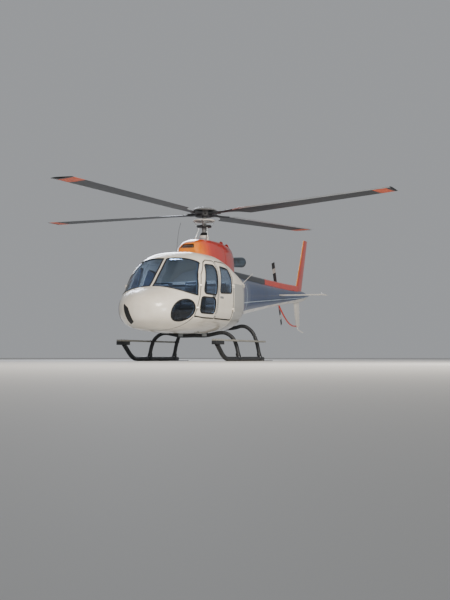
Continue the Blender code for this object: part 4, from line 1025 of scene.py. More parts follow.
# %% [markdown]
# The nose cover lies ahead of a raked seam and under the curved foot of the windshield. The belly
# goes on aft of the seam, and the canopy frame carries everything above the sills.

# %% Regions and shells
BASE_Z, BASE_DROP, BASE_LIP = 1.43, 0.26, 0.020
POST_HALF = 0.035


def foot_line(drop, width=0.95, steps=48):
    """The curved line in the front view that the windshield stands on."""
    xs = [-width + 2.0 * width * k / steps for k in range(steps + 1)]
    return [(x, BASE_Z - drop - BASE_DROP * x * x) for x in xs]


def above_foot(name, drop):
    line = foot_line(drop)
    return guide(prism(name, [*line, (line[-1][0], 2.7), (line[0][0], 2.7)], -3.3, -1.5, "Y"))


def nose_region(name, gap):
    rear = SEAM_HIGH[0] + gap
    sides = [
        (-3.3, SEAM_LOW[1]), (SEAM_LOW[0] + gap, SEAM_LOW[1]), (rear, SILL_Z - gap),
        (-1.86, SILL_Z - gap), (-1.86, 1.60), (-3.3, 1.60),
    ]
    region = guide(prism(name, sides, -FAR, FAR, "X"))
    top = foot_line(BASE_LIP - gap)
    cap = guide(prism(f"{name}_cap", [*top, (top[-1][0], 0.2), (top[0][0], 0.2)], -3.4, -1.5, "Y"))
    return carve(region, cap, "INTERSECT")


nose_cover = carve(twin("nose_cover", cabin_panel), nose_region("nose_space", -SEAM), "INTERSECT")
belly_space = guide(prism("belly_space", [
    (SEAM_LOW[0] + SEAM, 0.2), (SEAM_LOW[0] + SEAM, SEAM_LOW[1]), (SEAM_HIGH[0] + SEAM, SILL_Z - SEAM),
    (CABIN_END_Y - SEAM, SILL_Z - SEAM), (CABIN_END_Y - SEAM, 0.2),
], -FAR, FAR))
belly_cover = carve(twin("belly_cover", cabin_panel), belly_space, "INTERSECT")
canopy_space = guide(prism("canopy_space", [
    (-3.4, SILL_Z), (CABIN_END_Y - SEAM, SILL_Z), (CABIN_END_Y - SEAM, ROOF_SPLIT_Z),
    (ROOF_END_Y, ROOF_SPLIT_Z), (ROOF_END_Y, 2.6), (-3.4, 2.6),
], -FAR, FAR))
canopy = carve(twin("canopy", cabin_panel), canopy_space, "INTERSECT")
carve(canopy, nose_region("grown_nose_space", SEAM))
rear_body = twin("rear_body", aft_skin)
hollow = twin("rear_hollow", aft_inside)
carve(hollow, guide(block("parcel_shelf", (-FAR, -1.0, ROOF_SPLIT_Z - WALL), (FAR, ROOF_END_Y + WALL, 2.6))))
carve(rear_body, guide(hollow))
carve(rear_body, guide(block(
    "roof_space", (-FAR, -1.0, ROOF_SPLIT_Z - SEAM), (FAR, ROOF_END_Y + SEAM, 2.6)
)))
print("canopy faces:", len(canopy.data.polygons))

# %% [markdown]
# ## Doors
# Front doors hang on the A-pillar and rear doors on the rear pillar, so the two handles meet at the
# pillar between them. Each door is its doorway's outline, drawn in by a 10 mm gap, with its window
# cut. Both edges at the pillar lie back a little, because a thick door turns through its own gap.

# %% Door outlines
FRONT_DOOR_EDGE = ((-2.104, SILL_Z), (-2.047, 1.038), (-1.965, 1.247), (-1.906, 1.452), (-1.814, 1.669))
FRONT_DOOR_TOP = ((-1.575, 1.925), (-1.470, DOOR_TOP_Z))
REAR_DOOR_EDGE_Y = -0.532
REAR_DOOR_TOP = ((-0.665, DOOR_TOP_Z), (REAR_DOOR_EDGE_Y, 1.70))
TOE_RISE, TOE_LENGTH = 0.022, 0.30
PILLAR_SET_BACK = (0.006, 0.014)
PILLAR_LOW, PILLAR_HIGH = (-1.330, SILL_Z), (-1.184, DOOR_TOP_Z)
PILLAR_HALF = 0.020
BAGGAGE_SWEEP = (0.398, 0.76)


def pillar_y(z):
    share = (z - PILLAR_LOW[1]) / (PILLAR_HIGH[1] - PILLAR_LOW[1])
    return PILLAR_LOW[0] + share * (PILLAR_HIGH[0] - PILLAR_LOW[0])


def front_doorway(cut):
    low = SILL_Z - (0.06 if cut else 0.0)
    edge = list(FRONT_DOOR_EDGE)
    edge[0] = (edge[0][0] - (0.017 if cut else 0.0), low + (0.0 if cut else TOE_RISE))
    back = (0.0, 0.0) if cut else PILLAR_SET_BACK
    top = (pillar_y(DOOR_TOP_Z) - PILLAR_HALF - back[1], DOOR_TOP_Z)
    foot = (pillar_y(low) - PILLAR_HALF - back[0], low)
    toe = [] if cut else [(edge[0][0] + TOE_LENGTH, low)]
    return edge + list(FRONT_DOOR_TOP) + [top, foot] + toe


def rear_doorway(cut):
    low = SILL_Z - (0.06 if cut else 0.0)
    back = (0.0, 0.0) if cut else PILLAR_SET_BACK
    foot = (pillar_y(low) + PILLAR_HALF + back[0], low)
    top = (pillar_y(DOOR_TOP_Z) + PILLAR_HALF + back[1], DOOR_TOP_Z)
    return [foot, top, *REAR_DOOR_TOP, (REAR_DOOR_EDGE_Y, low)]


PANES = {
    "front_door_window": rounded(
        [(-1.865, 1.30), (-1.345, 1.30), (-1.285, 1.60), (-1.265, 1.89), (-1.585, 1.89)], 0.09, 8
    ),
    "front_door_lower_window": rounded(
        [(-1.985, 0.925), (-1.405, 0.925), (-1.375, 1.235), (-1.925, 1.235)], 0.10, 8
    ),
    "rear_door_window": rounded(
        [(-1.195, 1.345), (-0.61, 1.375), (-0.595, 1.70), (-0.68, 1.86), (-1.06, 1.885)], 0.06, 8
    ),
}
BAGGAGE_DOORWAY = rounded([(0.08, 0.98), (0.70, 1.06), (0.70, 1.58), (0.08, 1.58)], 0.06)
WINDSHIELD = rounded([
    (-3.10, 1.20), (-2.050, 1.20), (-2.030, 1.257), (-1.975, 1.452), (-1.885, 1.669),
    (-1.668, 1.920), (-1.80, 2.018), (-1.95, 2.60), (-3.10, 2.60),
], 0.02, 3)
CHIN_PANE = ellipse((-2.385, 0.960), (0.275, 0.195), math.radians(20.0))

door_cuts = {"front_door": side_cutter("front_doorway", front_doorway(True)),
             "rear_door": side_cutter("rear_doorway", rear_doorway(True))}
door_forms = {
    "front_door": side_cutter("front_door_form", rounded(grown(front_doorway(False), -DOOR_GAP), 0.03, 5)),
    "rear_door": side_cutter("rear_door_form", rounded(grown(rear_doorway(False), -DOOR_GAP), 0.03, 5)),
}
print("doorways:", list(door_cuts))

# %% Doors and their panes
PANE_FIT = 0.0008
SEAL_WIDTH, SEAL_HEIGHT = 0.030, 0.004
for word, side in SIDES:
    for kind in door_cuts:
        cutter = on_side(door_cuts[kind], side)
        carve(canopy, cutter)
        if kind == "front_door":
            carve(nose_cover, cutter)
        door = carve(twin(f"{kind}_{word}_panel", cabin_panel), on_side(door_forms[kind], side), "INTERSECT")
        for label, outline in PANES.items():
            if not label.startswith(kind):
                continue
            carve(door, on_side(side_cutter(f"{label}_hole", outline), side))
            fit = on_side(side_cutter(f"{label}_fit", grown(outline, -PANE_FIT)), side)
            pane = carve(twin(f"{label}_{word}_acrylic", glass_panel), fit, "INTERSECT")
            finish_piece(
                pane, tinted_acrylic, (f"{label}_{word}",), skin_value,
                body=f"{kind}_{word}"
            )
            seal = strip(f"{label}_{word}_seal", side_route(outline, side), SEAL_WIDTH, SEAL_HEIGHT)
            finish_piece(seal, door_rubber, body=f"{kind}_{word}")
        finish_piece(
            door, cream_enamel, (f"{kind}_{word}",), skin_value, body=f"{kind}_{word}"
        )
print("doors made")

# %% [markdown]
# The windshield is two blown panes that meet on a centre post. It runs from the nose cover up to
# the roof, so its opening is cut in the side view and its curved foot in the front view. The chin
# windows are ovals low in the nose, for the pilots to see the ground.

# %% Windshield and chin windows
opening = guide(prism("windshield_opening", WINDSHIELD, -FAR, FAR))
carve(opening, above_foot("over_the_foot", 0.0), "INTERSECT")
carve(opening, guide(block("centre_post", (-POST_HALF, -3.5, 0.5), (POST_HALF, -1.0, 2.8))))
carve(canopy, opening)
fit_top = above_foot("over_the_pane_foot", -PANE_FIT)
chin_hole = side_cutter("chin_opening", CHIN_PANE)
chin_fit = side_cutter("chin_fit", grown(CHIN_PANE, -PANE_FIT))
for word, side in SIDES:
    low, high = sorted((side * (POST_HALF + PANE_FIT), side * FAR))
    fit = guide(prism(f"windshield_fit_{word}", grown(WINDSHIELD, -PANE_FIT), low, high))
    carve(fit, fit_top, "INTERSECT")
    pane = carve(twin(f"windshield_{word}_acrylic", glass_panel), fit, "INTERSECT")
    finish_piece(pane, tinted_acrylic, (f"windshield_{word}",), skin_value)
    carve(nose_cover, on_side(chin_hole, side))
    chin = carve(twin(f"chin_window_{word}_acrylic", glass_panel), on_side(chin_fit, side), "INTERSECT")
    finish_piece(chin, tinted_acrylic, (f"chin_window_{word}",), skin_value)
    seal = strip(f"chin_window_{word}_seal", side_route(CHIN_PANE, side), SEAL_WIDTH, SEAL_HEIGHT)
    finish_piece(seal, door_rubber)
print("windshield made")

# %% [markdown]
# The windshield's seal follows its edge all round: the curved foot, the raked side post, the roof
# line and the centre post. On the foot and the roof the line isn't given in the side view, so a
# short search along the fuselage finds where it meets the skin.

# %% Windshield seals


def skin_y(x, z, low=-2.95, high=-1.4):
    """The station at which the skin passes through this place of the front view."""
    for _ in range(40):
        middle = (low + high) / 2.0
        if skin_value(np.array([[x, middle, z]]))[0] > 0.0:
            low = middle
        else:
            high = middle
    return (low + high) / 2.0


def foot_edge_x():
    """How far out the windshield's foot meets its side edge."""
    for x in np.arange(0.2, 0.9, 0.002):
        z = BASE_Z - BASE_DROP * x * x
        y = skin_y(x, z)
        edge_y = np.interp(z, [1.20, 1.257, 1.452, 1.669], [-2.050, -2.030, -1.975, -1.885])
        if y >= edge_y:
            return float(x)
    return 0.8


FOOT_X = foot_edge_x()
for word, side in SIDES:
    foot = []
    for k in range(41):
        x = POST_HALF + (FOOT_X - POST_HALF) * k / 40.0
        z = BASE_Z - BASE_DROP * x * x
        foot.append(Vector((side * x, skin_y(x, z), z)))
    edge_z = foot[-1].z
    posts = [(z, y) for y, z in WINDSHIELD if -2.10 < y < -1.60 and edge_z < z < 1.95]
    posts.sort()
    edge = [on_skin(y, z, side) for z, y in posts]
    (y0, z0), (y1, z1) = (-1.668, 1.920), (-1.80, 2.018)
    roof = []
    for k in range(1, 60):
        t = k / 59.0
        y, z = y0 + (y1 - y0) * t, z0 + (z1 - z0) * t
        x = skin_x(y, z)
        if x < POST_HALF:
            break
        roof.append(Vector((side * x, y, z)))
    top = roof[-1]
    post = []
    for k in range(1, 40):
        y = top.y + (foot[0].y - top.y) * k / 40.0
        post.append(Vector((side * POST_HALF, y, skin_high(POST_HALF, y))))
    line = spaced([*foot, *edge, *roof, *post, foot[0]], 0.014)
    seal = strip(f"windshield_{word}_seal", line, SEAL_WIDTH, SEAL_HEIGHT)
    finish_piece(seal, door_rubber)
print("windshield foot reaches X", round(FOOT_X, 3))

# %% Shells take their finish
finish_piece(nose_cover, cream_enamel, ("nose_shell",), skin_value)
finish_piece(belly_cover, cream_enamel, ("belly_shell",), skin_value)
finish_piece(canopy, cream_enamel, ("canopy_frame",), skin_value)

baggage_hole = side_cutter("baggage_doorway", BAGGAGE_DOORWAY, *BAGGAGE_SWEEP)
baggage_form = side_cutter("baggage_door_form", grown(BAGGAGE_DOORWAY, -DOOR_GAP), *BAGGAGE_SWEEP)
for word, side in SIDES:
    carve(rear_body, on_side(baggage_hole, side))
    door = carve(twin(f"baggage_door_{word}_panel", aft_panel), on_side(baggage_form, side), "INTERSECT")
    finish_piece(
        door, rear_enamel_with_shade, (f"baggage_door_{word}",), skin_value,
        body=f"baggage_door_{word}"
    )
finish_piece(rear_body, rear_enamel_with_shade, ("rear_fuselage",), skin_value)
print("shells finished")

# %% [markdown]
# ## Cowls
# The cowls are thin glass-fibre shells over the gearbox and the engine. The intake cowl with its
# ridge and the exhaust cowl with its spine stay put. The gearbox cowls swing down like tailgates,
# for a mechanic to stand on, and the engine cowls swing up on the spine. All are cut from one shell
# by plain blocks, so their faces meet flush, with the real 8 mm shut lines between them.

# %% Cowl blanks
COWL_WALL = 0.022
COWL_GAP = 0.008
INTAKE_JOINT_Y = -0.45
GEARBOX_JOINT_Y = 0.43
EXHAUST_JOINT_Y = 0.98
RIDGE_HALF = 0.150
MAST_SUPPORT_RADIUS = 0.110
COWL_START_Y, COWL_END_Y = COWL[0][0], COWL[-1][0]

cowl_ys = stations(COWL_START_Y, COWL_END_Y, 0.02)
outer_rings = [cowl_ring(y) for y in cowl_ys]
ROUND_OVER = 0.012
for k, back in ((-1, 1.0), (-2, 0.45)):
    outer_rings[k] = cowl_ring(cowl_ys[-1], ROUND_OVER * back ** 2, COWL_END_Y - ROUND_OVER * (1.0 - back))
cowl_outer = guide(loft("cowl_outer", outer_rings))
inner_rings = []
for i, y in enumerate(cowl_ys):
    place = y + (COWL_WALL if i == 0 else 0.0) - (COWL_WALL if i == len(cowl_ys) - 1 else 0.0)
    if i in (1, len(cowl_ys) - 2):
        continue
    ring = cowl_ring(y, COWL_WALL, place)
    ring[:, 2] = np.where(ring[:, 2] < COWL_BASE_Z + 1e-6, ring[:, 2] - 0.02, ring[:, 2])
    inner_rings.append(ring)
cowl_inner = guide(loft("cowl_inner", inner_rings))
cowl_shell = guide(carve(twin("cowl_shell", cowl_outer), cowl_inner))
swing_room = solid_form("swing_room", front_ys, -SWING_CLEARANCE, end_shift=0.02)
aft_swing_room = solid_form("aft_swing_room", aft_ys, -SWING_CLEARANCE, 0.3)
seats = {"fixed": (clear_of_cabin, clear_of_aft), "moving": (swing_room, aft_swing_room)}
print("cowl runs from Y", COWL_START_Y, "to", COWL_END_Y)

# %% Cowl pieces


COWL_CUT_LOW, COWL_CUT_HIGH = 1.6, 2.7


def cowl_piece(name, space, kind):
    """The cowl shell's share in this space, cut clear of the body under it."""
    piece = twin(name, cowl_shell)
    for cutter in seats[kind]:
        carve(piece, cutter)
    return carve(piece, guide(space), "INTERSECT")


def finish_cowl(piece, node, body="fuselage"):
    finish_piece(piece, highlit_cowl_enamel, (node,), cowl_value, body=body)


front_space = block("intake_space", (-FAR, -1.0, COWL_CUT_LOW), (FAR, INTAKE_JOINT_Y, COWL_CUT_HIGH))
ridge = block(
    "ridge_space", (-RIDGE_HALF, -0.9, COWL_CUT_LOW), (RIDGE_HALF, GEARBOX_JOINT_Y, COWL_CUT_HIGH)
)
carve(front_space, guide(ridge), "UNION")
intake = cowl_piece("intake_cowl_shell", front_space, "fixed")
MOUTH = rounded([(-0.16, 2.315), (0.16, 2.315), (0.13, 2.40), (-0.13, 2.40)], 0.02, 5)
carve(intake, guide(prism("intake_mouth", MOUTH, -1.1, -0.70, "Y")))
hole = [(MAST_SUPPORT_RADIUS + 0.004, 2.3), (MAST_SUPPORT_RADIUS + 0.004, 2.8)]
carve(intake, guide(turned("mast_hole", hole)))
finish_cowl(intake, "intake_cowl")

rear_space = block(
    "exhaust_space", (-FAR, EXHAUST_JOINT_Y, COWL_CUT_LOW), (FAR, COWL_END_Y + 0.1, COWL_CUT_HIGH)
)
spine = block(
    "spine_space", (-RIDGE_HALF, GEARBOX_JOINT_Y + SEAM, COWL_CUT_LOW),
    (RIDGE_HALF, EXHAUST_JOINT_Y + 0.05, COWL_CUT_HIGH)
)
carve(rear_space, guide(spine), "UNION")
exhaust_cowl = cowl_piece("exhaust_cowl_shell", rear_space, "fixed")

EXHAUST_RADIUS = 0.120
EXHAUST_ENTRY = Vector((0.0, 1.0903, 2.20))
EXHAUST_END = Vector((0.0, 2.07, 2.275))
level = Vector((0.0, 0.06, 0.0))
pipe_line = [EXHAUST_ENTRY - level, EXHAUST_ENTRY + level, EXHAUST_END]
carve(exhaust_cowl, guide(rod("exhaust_hole", pipe_line, EXHAUST_RADIUS + 0.012, 48)))
finish_cowl(exhaust_cowl, "exhaust_cowl")
for word, side in SIDES:
    low, high = sorted((side * (RIDGE_HALF + COWL_GAP), side * FAR))
    for kind, start, end in (
        ("gearbox", INTAKE_JOINT_Y + COWL_GAP, GEARBOX_JOINT_Y - 2.0 * COWL_GAP),
        ("engine", GEARBOX_JOINT_Y, EXHAUST_JOINT_Y - COWL_GAP),
    ):
        name = f"{kind}_cowl_{word}"
        space = block(f"{kind}_cowl_space_{word}", (low, start, COWL_CUT_LOW), (high, end, COWL_CUT_HIGH))
        finish_cowl(cowl_piece(f"{name}_shell", space, "moving"), name, name)
print("cowls made")

# %% [markdown]
# ## Hinges
# Every door and cowl turns on two small hinges, each a pair of knuckles on one pin, with a leaf
# that tapers into its own panel. Each pin line runs where the CAD's does, just outside the skin.
# The knuckles here are rounder than the CAD's, with a pin head on each end.

# %% Hinge knuckles
HINGE_PROUD = 0.023
HINGE_RADIUS = 0.013
HINGE_LENGTH = 0.036
KNUCKLE_GAP = 0.0006


def knuckle(name, start, end, reach, finish, body):
    """One knuckle with its leaf, and the pin's head on its outer end."""
    along = (end - start).normalized()
    out = reach - along * reach.dot(along)
    lean = out.normalized()
    square = along.cross(lean)
    section = []
    for k in range(17):
        turn = math.pi / 2.0 + math.pi * k / 16.0
        section.append(lean * math.cos(turn) * HINGE_RADIUS + square * math.sin(turn) * HINGE_RADIUS)
    section += [out - square * HINGE_RADIUS * 0.6, out + square * HINGE_RADIUS * 0.6]
    thing = loft(name, [[start + corner for corner in section], [end + corner for corner in section]])
    soften(thing, 0.0015)
    finish_piece(thing, finish, body=body)
    rings = [
        [end + along * lift + (lean * c + square * s) * radius for c, s in circle(16)]
        for lift, radius in ((-0.002, 0.0065), (0.002, 0.0065), (0.004, 0.005), (0.0045, 0.002))
    ]
    finish_piece(loft(f"{name}_pin", rings), zinc_bolts, body=body)


def hinge_pair(name, places, moving, fixed, finishes, slots):
    """Two hinges on one line. Moving and fixed are a body with the reach of its leaf."""
    along = (places[1] - places[0]).normalized()
    for i, place in enumerate(places):
        for (body, reach), sense, finish, slot in zip((moving, fixed), (1.0, -1.0), finishes, slots):
            start = place + along * sense * KNUCKLE_GAP / 2.0
            end = start + along * sense * HINGE_LENGTH
            part = "swing" if sense > 0.0 else "fixed"
            knuckle(f"{name}_hinge_{i + 1}_{part}", start, end, reach, finish, body)


def cowl_side(y, z):
    half, top = cowl_at(y)
    part = (z - COWL_BASE_Z) / (top - COWL_BASE_Z)
    return float(half * max(0.0, 1.0 - part ** COWL_FULLNESS) ** (1.0 / COWL_FULLNESS))


for word, side in SIDES:
    enamels = (cream_enamel, cream_enamel)
    places = [flip((skin_x(y, z) + HINGE_PROUD, y, z), side) for y, z in ((-2.053, 1.030), (-1.905, 1.470))]
    hinge_pair(
        f"front_door_{word}", places, (f"front_door_{word}", flip((-0.044, 0.064, 0.0), side)),
        ("fuselage", flip((-0.060, -0.044, 0.0), side)), enamels, ("cream_metal", "cream_metal")
    )
    rear_y = REAR_DOOR_EDGE_Y - 0.003
    places = [flip((skin_x(rear_y, z) + HINGE_PROUD, rear_y, z), side) for z in (1.04, 1.52)]
    hinge_pair(
        f"rear_door_{word}", places, (f"rear_door_{word}", flip((-0.041, -0.052, 0.0), side)),
        ("fuselage", flip((-0.041, 0.042, 0.0), side)), enamels, ("cream_metal", "cream_metal")
    )
    # The baggage door hinges take the grey of the sides' painted shade.
    places = [flip((skin_x(y, 1.595) + 0.040, y, 1.595), side) for y in (0.16, 0.60)]
    hinge_pair(
        f"baggage_door_{word}", places, (f"baggage_door_{word}", flip((-0.057, 0.0, -0.066), side)),
        ("fuselage", flip((-0.072, 0.0, 0.050), side)), (shade_grey_enamel, shade_grey_enamel),
        ("grey_metal", "grey_metal")
    )
    places = []
    for y in (-0.32, 0.32):
        z = 2.0
        for _ in range(8):
            x = cowl_side(y, z) + HINGE_PROUD
            z = skin_high(x, y) + 0.028
        places.append(flip((x, y, z), side))
    hinge_pair(
        f"gearbox_cowl_{word}", places, (f"gearbox_cowl_{word}", flip((-0.034, 0.0, 0.050), side)),
        ("fuselage", flip((0.0, 0.0, -0.054), side)), (highlit_cowl_enamel, cream_enamel),
        ("orange_metal", "cream_metal")
    )
    x = RIDGE_HALF + COWL_GAP / 2.0
    places = []
    for y in (0.56, 0.86):
        half, top = cowl_at(y)
        part = (1.0 - (x / half) ** COWL_FULLNESS) ** (1.0 / COWL_FULLNESS)
        places.append(flip((x, y, float(COWL_BASE_Z + (top - COWL_BASE_Z) * part + HINGE_PROUD)), side))
    hinge_pair(
        f"engine_cowl_{word}", places, (f"engine_cowl_{word}", flip((0.036, 0.0, -0.066), side)),
        ("fuselage", flip((-0.040, 0.0, -0.036), side)), (highlit_cowl_enamel, highlit_cowl_enamel),
        ("orange_metal", "orange_metal")
    )
print("hinge lines:", 5 * len(SIDES))

# %% [markdown]
# ## Exhaust, engine and gearbox
# Under the cowls stand the turbine and the main gearbox. The engine is a stepped barrel with a
# flanged outlet. The exhaust is thin stainless steel, rolled and seam welded, and heat has turned it
# brown and blue. Its bore is black with soot.

# %% Exhaust pipe
axis_start = EXHAUST_ENTRY + level
axis = EXHAUST_END - EXHAUST_ENTRY - level
flow = axis.normalized()
path = [EXHAUST_ENTRY, axis_start, *(axis_start + axis * (k / 12.0) for k in range(1, 13))]
radii = [EXHAUST_RADIUS - 0.02 + 0.02 * min(1.0, k / 13.0) for k in range(len(path))]
for k in (5, 9):
    radii[k] += 0.004
radii[-1] = EXHAUST_RADIUS
pipe = rod("exhaust_pipe_steel", path, radii, 56)
bore_line = [EXHAUST_ENTRY + level * 2.0, EXHAUST_END + flow * 0.05]
carve(pipe, guide(rod("exhaust_bore", bore_line, EXHAUST_RADIUS - 0.02, 56)))


def inward(face):
    """One for a face that looks at the pipe's own axis."""
    away = face.center - axis_start
    return int((away - flow * away.dot(flow)).dot(face.normal) < 0.0)


paint_faces(pipe, (hot_steel, soot), inward)
finish_piece(pipe, None, ("exhaust_pipe",))

# %% Engine and gearbox
engine_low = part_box("engine")[0]
ENGINE_START_Y = engine_low.y - SHIFT.y
ENGINE_END_Y = EXHAUST_ENTRY.y - BEDDING
ENGINE_Z = 2.04
steps = (
    # Share of the length, radius
    (0.00, 0.075), (0.04, 0.110), (0.10, 0.110), (0.13, 0.090), (0.26, 0.090), (0.30, 0.150),
    (0.50, 0.160), (0.54, 0.135), (0.80, 0.135), (0.84, 0.155), (0.90, 0.155), (0.93, 0.100), (1.00, 0.090),
)
rings = []
for share, radius in steps:
    y = ENGINE_START_Y + (ENGINE_END_Y - ENGINE_START_Y) * share
    z = ENGINE_Z + (EXHAUST_ENTRY.z - ENGINE_Z) * max(0.0, (share - 0.84) / 0.16)
    rings.append([(radius * c, y, z + radius * s) for c, s in circle(40)])
barrel = loft("engine_barrel", rings)
soften(barrel, 0.004)
finish_piece(barrel, cast_alloy, ("engine",))
for k, y in enumerate((ENGINE_START_Y + 0.12, ENGINE_START_Y + 0.40)):
    deck = skin_high(0.0, y)
    foot = block(
        f"engine_mount_{k + 1}", (-0.13, y - 0.018, deck - 0.004), (0.13, y + 0.018, ENGINE_Z - 0.05)
    )
    soften(foot, 0.004)
    finish_piece(foot, cast_alloy)

MAST_TOP_Z = 2.66
BAND_LOW_Z = 2.61
gearbox_profile = [
    (0.19, 1.90), (0.19, 2.00), (0.20, 2.005), (0.20, 2.03), (0.19, 2.035), (0.19, 2.20), (0.20, 2.21),
    (0.20, 2.25), (0.16, 2.34), (MAST_SUPPORT_RADIUS, 2.50), (MAST_SUPPORT_RADIUS, 2.60),
    (MAST_SUPPORT_RADIUS - 0.004, 2.605), (MAST_SUPPORT_RADIUS - 0.004, MAST_TOP_Z - 0.004),
    (MAST_SUPPORT_RADIUS - 0.008, MAST_TOP_Z),
]
case = turned("gearbox_case", gearbox_profile, 64)
carve(case, clear_of_cabin)
carve(case, clear_of_aft)
carve(case, guide(turned("mast_bore", [(0.056, 2.45), (0.056, 2.80)], 48)))
paint_faces(case, (cast_alloy, band_paint), lambda face: int(face.center.z > BAND_LOW_Z))
finish_piece(case, None, ("gearbox",))
print("power plant made")

# %% [markdown]
# ## Main rotor
# The head is a star of glass-fibre, flexible enough to stand in for hinges, with a domed cap over
# it. Each blade is bolted to an arm by a cuff. A blade is a glass-fibre skin round a foam core with
# a stainless strip along its leading edge, where rain and sand would eat the resin.

# %% Blade sections
ROTOR_RADIUS = 4.40
BLADE_COUNT = 4
BLADE_CHORD = 0.50
BLADE_CONING = math.radians(1.8)
FIRST_BLADE = math.radians(-12.0)
HUB_LOW_Z, STAR_LOW_Z, STAR_HIGH_Z, CAP_TOP_Z = 3.06, 3.105, 3.155, 3.27
BEARING_Z = 3.13
CAP_RADIUS = 0.270
BLADE_ROOT, CUFF_END, BLADE_FULL = 0.40, 0.62, 0.98
STRIP_SHARE = 0.09
TIP_PATCH = (4.02, 4.30)


def aerofoil(chord, thickness, nose, pitch=0.0, count=16):
    """Section points as (along the chord, up), with the leading edge at nose."""
    upper, lower = [], []
    for k in range(count + 1):
        share = (k / count) ** 1.6
        bulge = 1.7 * math.sqrt(share) * (1.0 - share) ** 0.9 + 0.06 * (1.0 - share) * share
        half = thickness / 2.0 * min(1.0, bulge) + 0.0015
        upper.append((nose - chord * share, half))
        lower.append((nose - chord * share, -half))
    result = []
    for along, up in upper + lower[::-1]:
        result.append((
            along * math.cos(pitch) - up * math.sin(pitch), along * math.sin(pitch) + up * math.cos(pitch)
        ))
    return result


BLADE_STATIONS = (
    # Radius, chord, share ahead of the pitch axis, thickness, pitch in degrees
    (BLADE_ROOT, 0.120, 0.50, 0.060, 0.0),
    (CUFF_END, 0.130, 0.50, 0.055, 2.0),
    (0.80, 0.260, 0.42, 0.050, 5.0),
    (BLADE_FULL, BLADE_CHORD, 0.32, 0.045, 5.0),
    (2.60, BLADE_CHORD, 0.30, 0.040, 3.0),
    (ROTOR_RADIUS, BLADE_CHORD * 0.96, 0.28, 0.032, 1.0),
)


def blade_rings(count=16):
    radii = sorted({row[0] for row in BLADE_STATIONS} | set(TIP_PATCH) | {1.5, 2.0, 3.2, 3.7})
    rings = []
    for radius in radii:
        values = [
            float(np.interp(radius, [row[0] for row in BLADE_STATIONS], [row[k] for row in BLADE_STATIONS]))
            for k in range(1, 5)
        ]
        chord, ahead, thickness, pitch = values
        lift = math.tan(BLADE_CONING) * (radius - BLADE_ROOT)
        slant = 0.05 if radius == ROTOR_RADIUS else 0.0
        section = aerofoil(chord, thickness, chord * ahead, math.radians(pitch), count)
        rings.append([(radius - slant * (along < 0.0), -along, up + lift) for along, up in section])
    return rings


def blade_zone(face):
    """The strip along the leading edge, the patch near the tip, or the plain skin."""
    radius, along = face.center.x, face.center.y
    radii = [row[0] for row in BLADE_STATIONS]
    chord, ahead = (float(np.interp(radius, radii, [row[k] for row in BLADE_STATIONS])) for k in (1, 2))
    if radius > 0.85 and along + chord * ahead < STRIP_SHARE * chord:
        return 1
    return 2 if TIP_PATCH[0] < radius < TIP_PATCH[1] else 0


def at_blade(turn, radius=0.0, z=(STAR_LOW_Z + STAR_HIGH_Z) / 2.0):
    """Sets a piece that was made on the X axis at this radius along a blade."""
    lift, out = Matrix.Translation((0.0, 0.0, z)), Matrix.Translation((radius, 0, 0))
    return lift @ Matrix.Rotation(turn, 4, "Z") @ out


def blade_turn(place):
    """Which way a blade points. A place of one half is midway between two blades."""
    return FIRST_BLADE + 2.0 * math.pi * place / BLADE_COUNT


print("blade radius", ROTOR_RADIUS, "m")

# %% Blades
blade_sections = blade_rings()
for index in range(BLADE_COUNT):
    turn = blade_turn(index)
    blade = loft(f"blade_{index + 1}_skin", blade_sections)
    paint_faces(blade, (blade_skin, leading_steel, tip_paint), blade_zone)
    blade.data.transform(at_blade(turn))
    finish_piece(
        blade, None, (f"main_blade_{index + 1}",), sharp=30.0, body="main_rotor"
    )
    for k, (radius, side_y) in enumerate(((0.44, -0.032), (0.44, 0.032), (0.56, 0.0))):
        bolt = turned(f"blade_{index + 1}_bolt_{k + 1}", [
            (0.017, 0.022), (0.017, 0.032), (0.011, 0.033), (0.011, 0.043), (0.009, 0.045)
        ], 18, (0.0, side_y))
        bolt.data.transform(at_blade(turn, radius))
        finish_piece(bolt, zinc_bolts, body="main_rotor")
print("blades:", BLADE_COUNT)

# %% [markdown]
# The hub is the star with its arms, a lower clamp ring, elastomer bearings between the arms and the
# cap on top. Under it the mast carries the swashplate, which tilts to steer, and four pitch links
# run up to a ring under the star. Rods and rings like these are what makes a rotor head look busy.

# %% Hub
star = turned("hub_star", [
    (0.17, HUB_LOW_Z + BEDDING), (0.19, HUB_LOW_Z + 0.008), (0.19, STAR_LOW_Z - 0.015),
    (0.182, STAR_LOW_Z - 0.01), (0.182, STAR_HIGH_Z + 0.008), (0.19, STAR_HIGH_Z + 0.012), (0.20, 3.186),
], 64)
root_end = BLADE_ROOT - BEDDING
for k in range(BLADE_COUNT):
    turn = blade_turn(k)
    arm = guide(prism(f"star_arm_{k + 1}", [
        (0.10, -0.090), (0.24, -0.075), (root_end, -0.060), (root_end, 0.060), (0.24, 0.075), (0.10, 0.090)
    ], STAR_LOW_Z, STAR_HIGH_Z, "Z"))
    arm.data.transform(Matrix.Rotation(turn, 4, "Z"))
    carve(star, arm, "UNION")
soften(star, 0.004)
finish_piece(star, powder_coat, ("rotor_hub",), body="main_rotor")
cap = turned("hub_cap", [
    (0.196, 3.187), (CAP_RADIUS - 0.012, 3.189), (CAP_RADIUS - 0.002, 3.193), (CAP_RADIUS, 3.198),
    (CAP_RADIUS - 0.004, 3.206), (0.245, 3.220), (0.215, 3.234), (0.17, 3.250), (0.12, 3.261), (0.06, 3.268),
    (0.012, CAP_TOP_Z),
], 72)
finish_piece(cap, cap_paint, body="main_rotor")
CAP_BOLTS, CAP_BOLT_CIRCLE = 12, 0.232
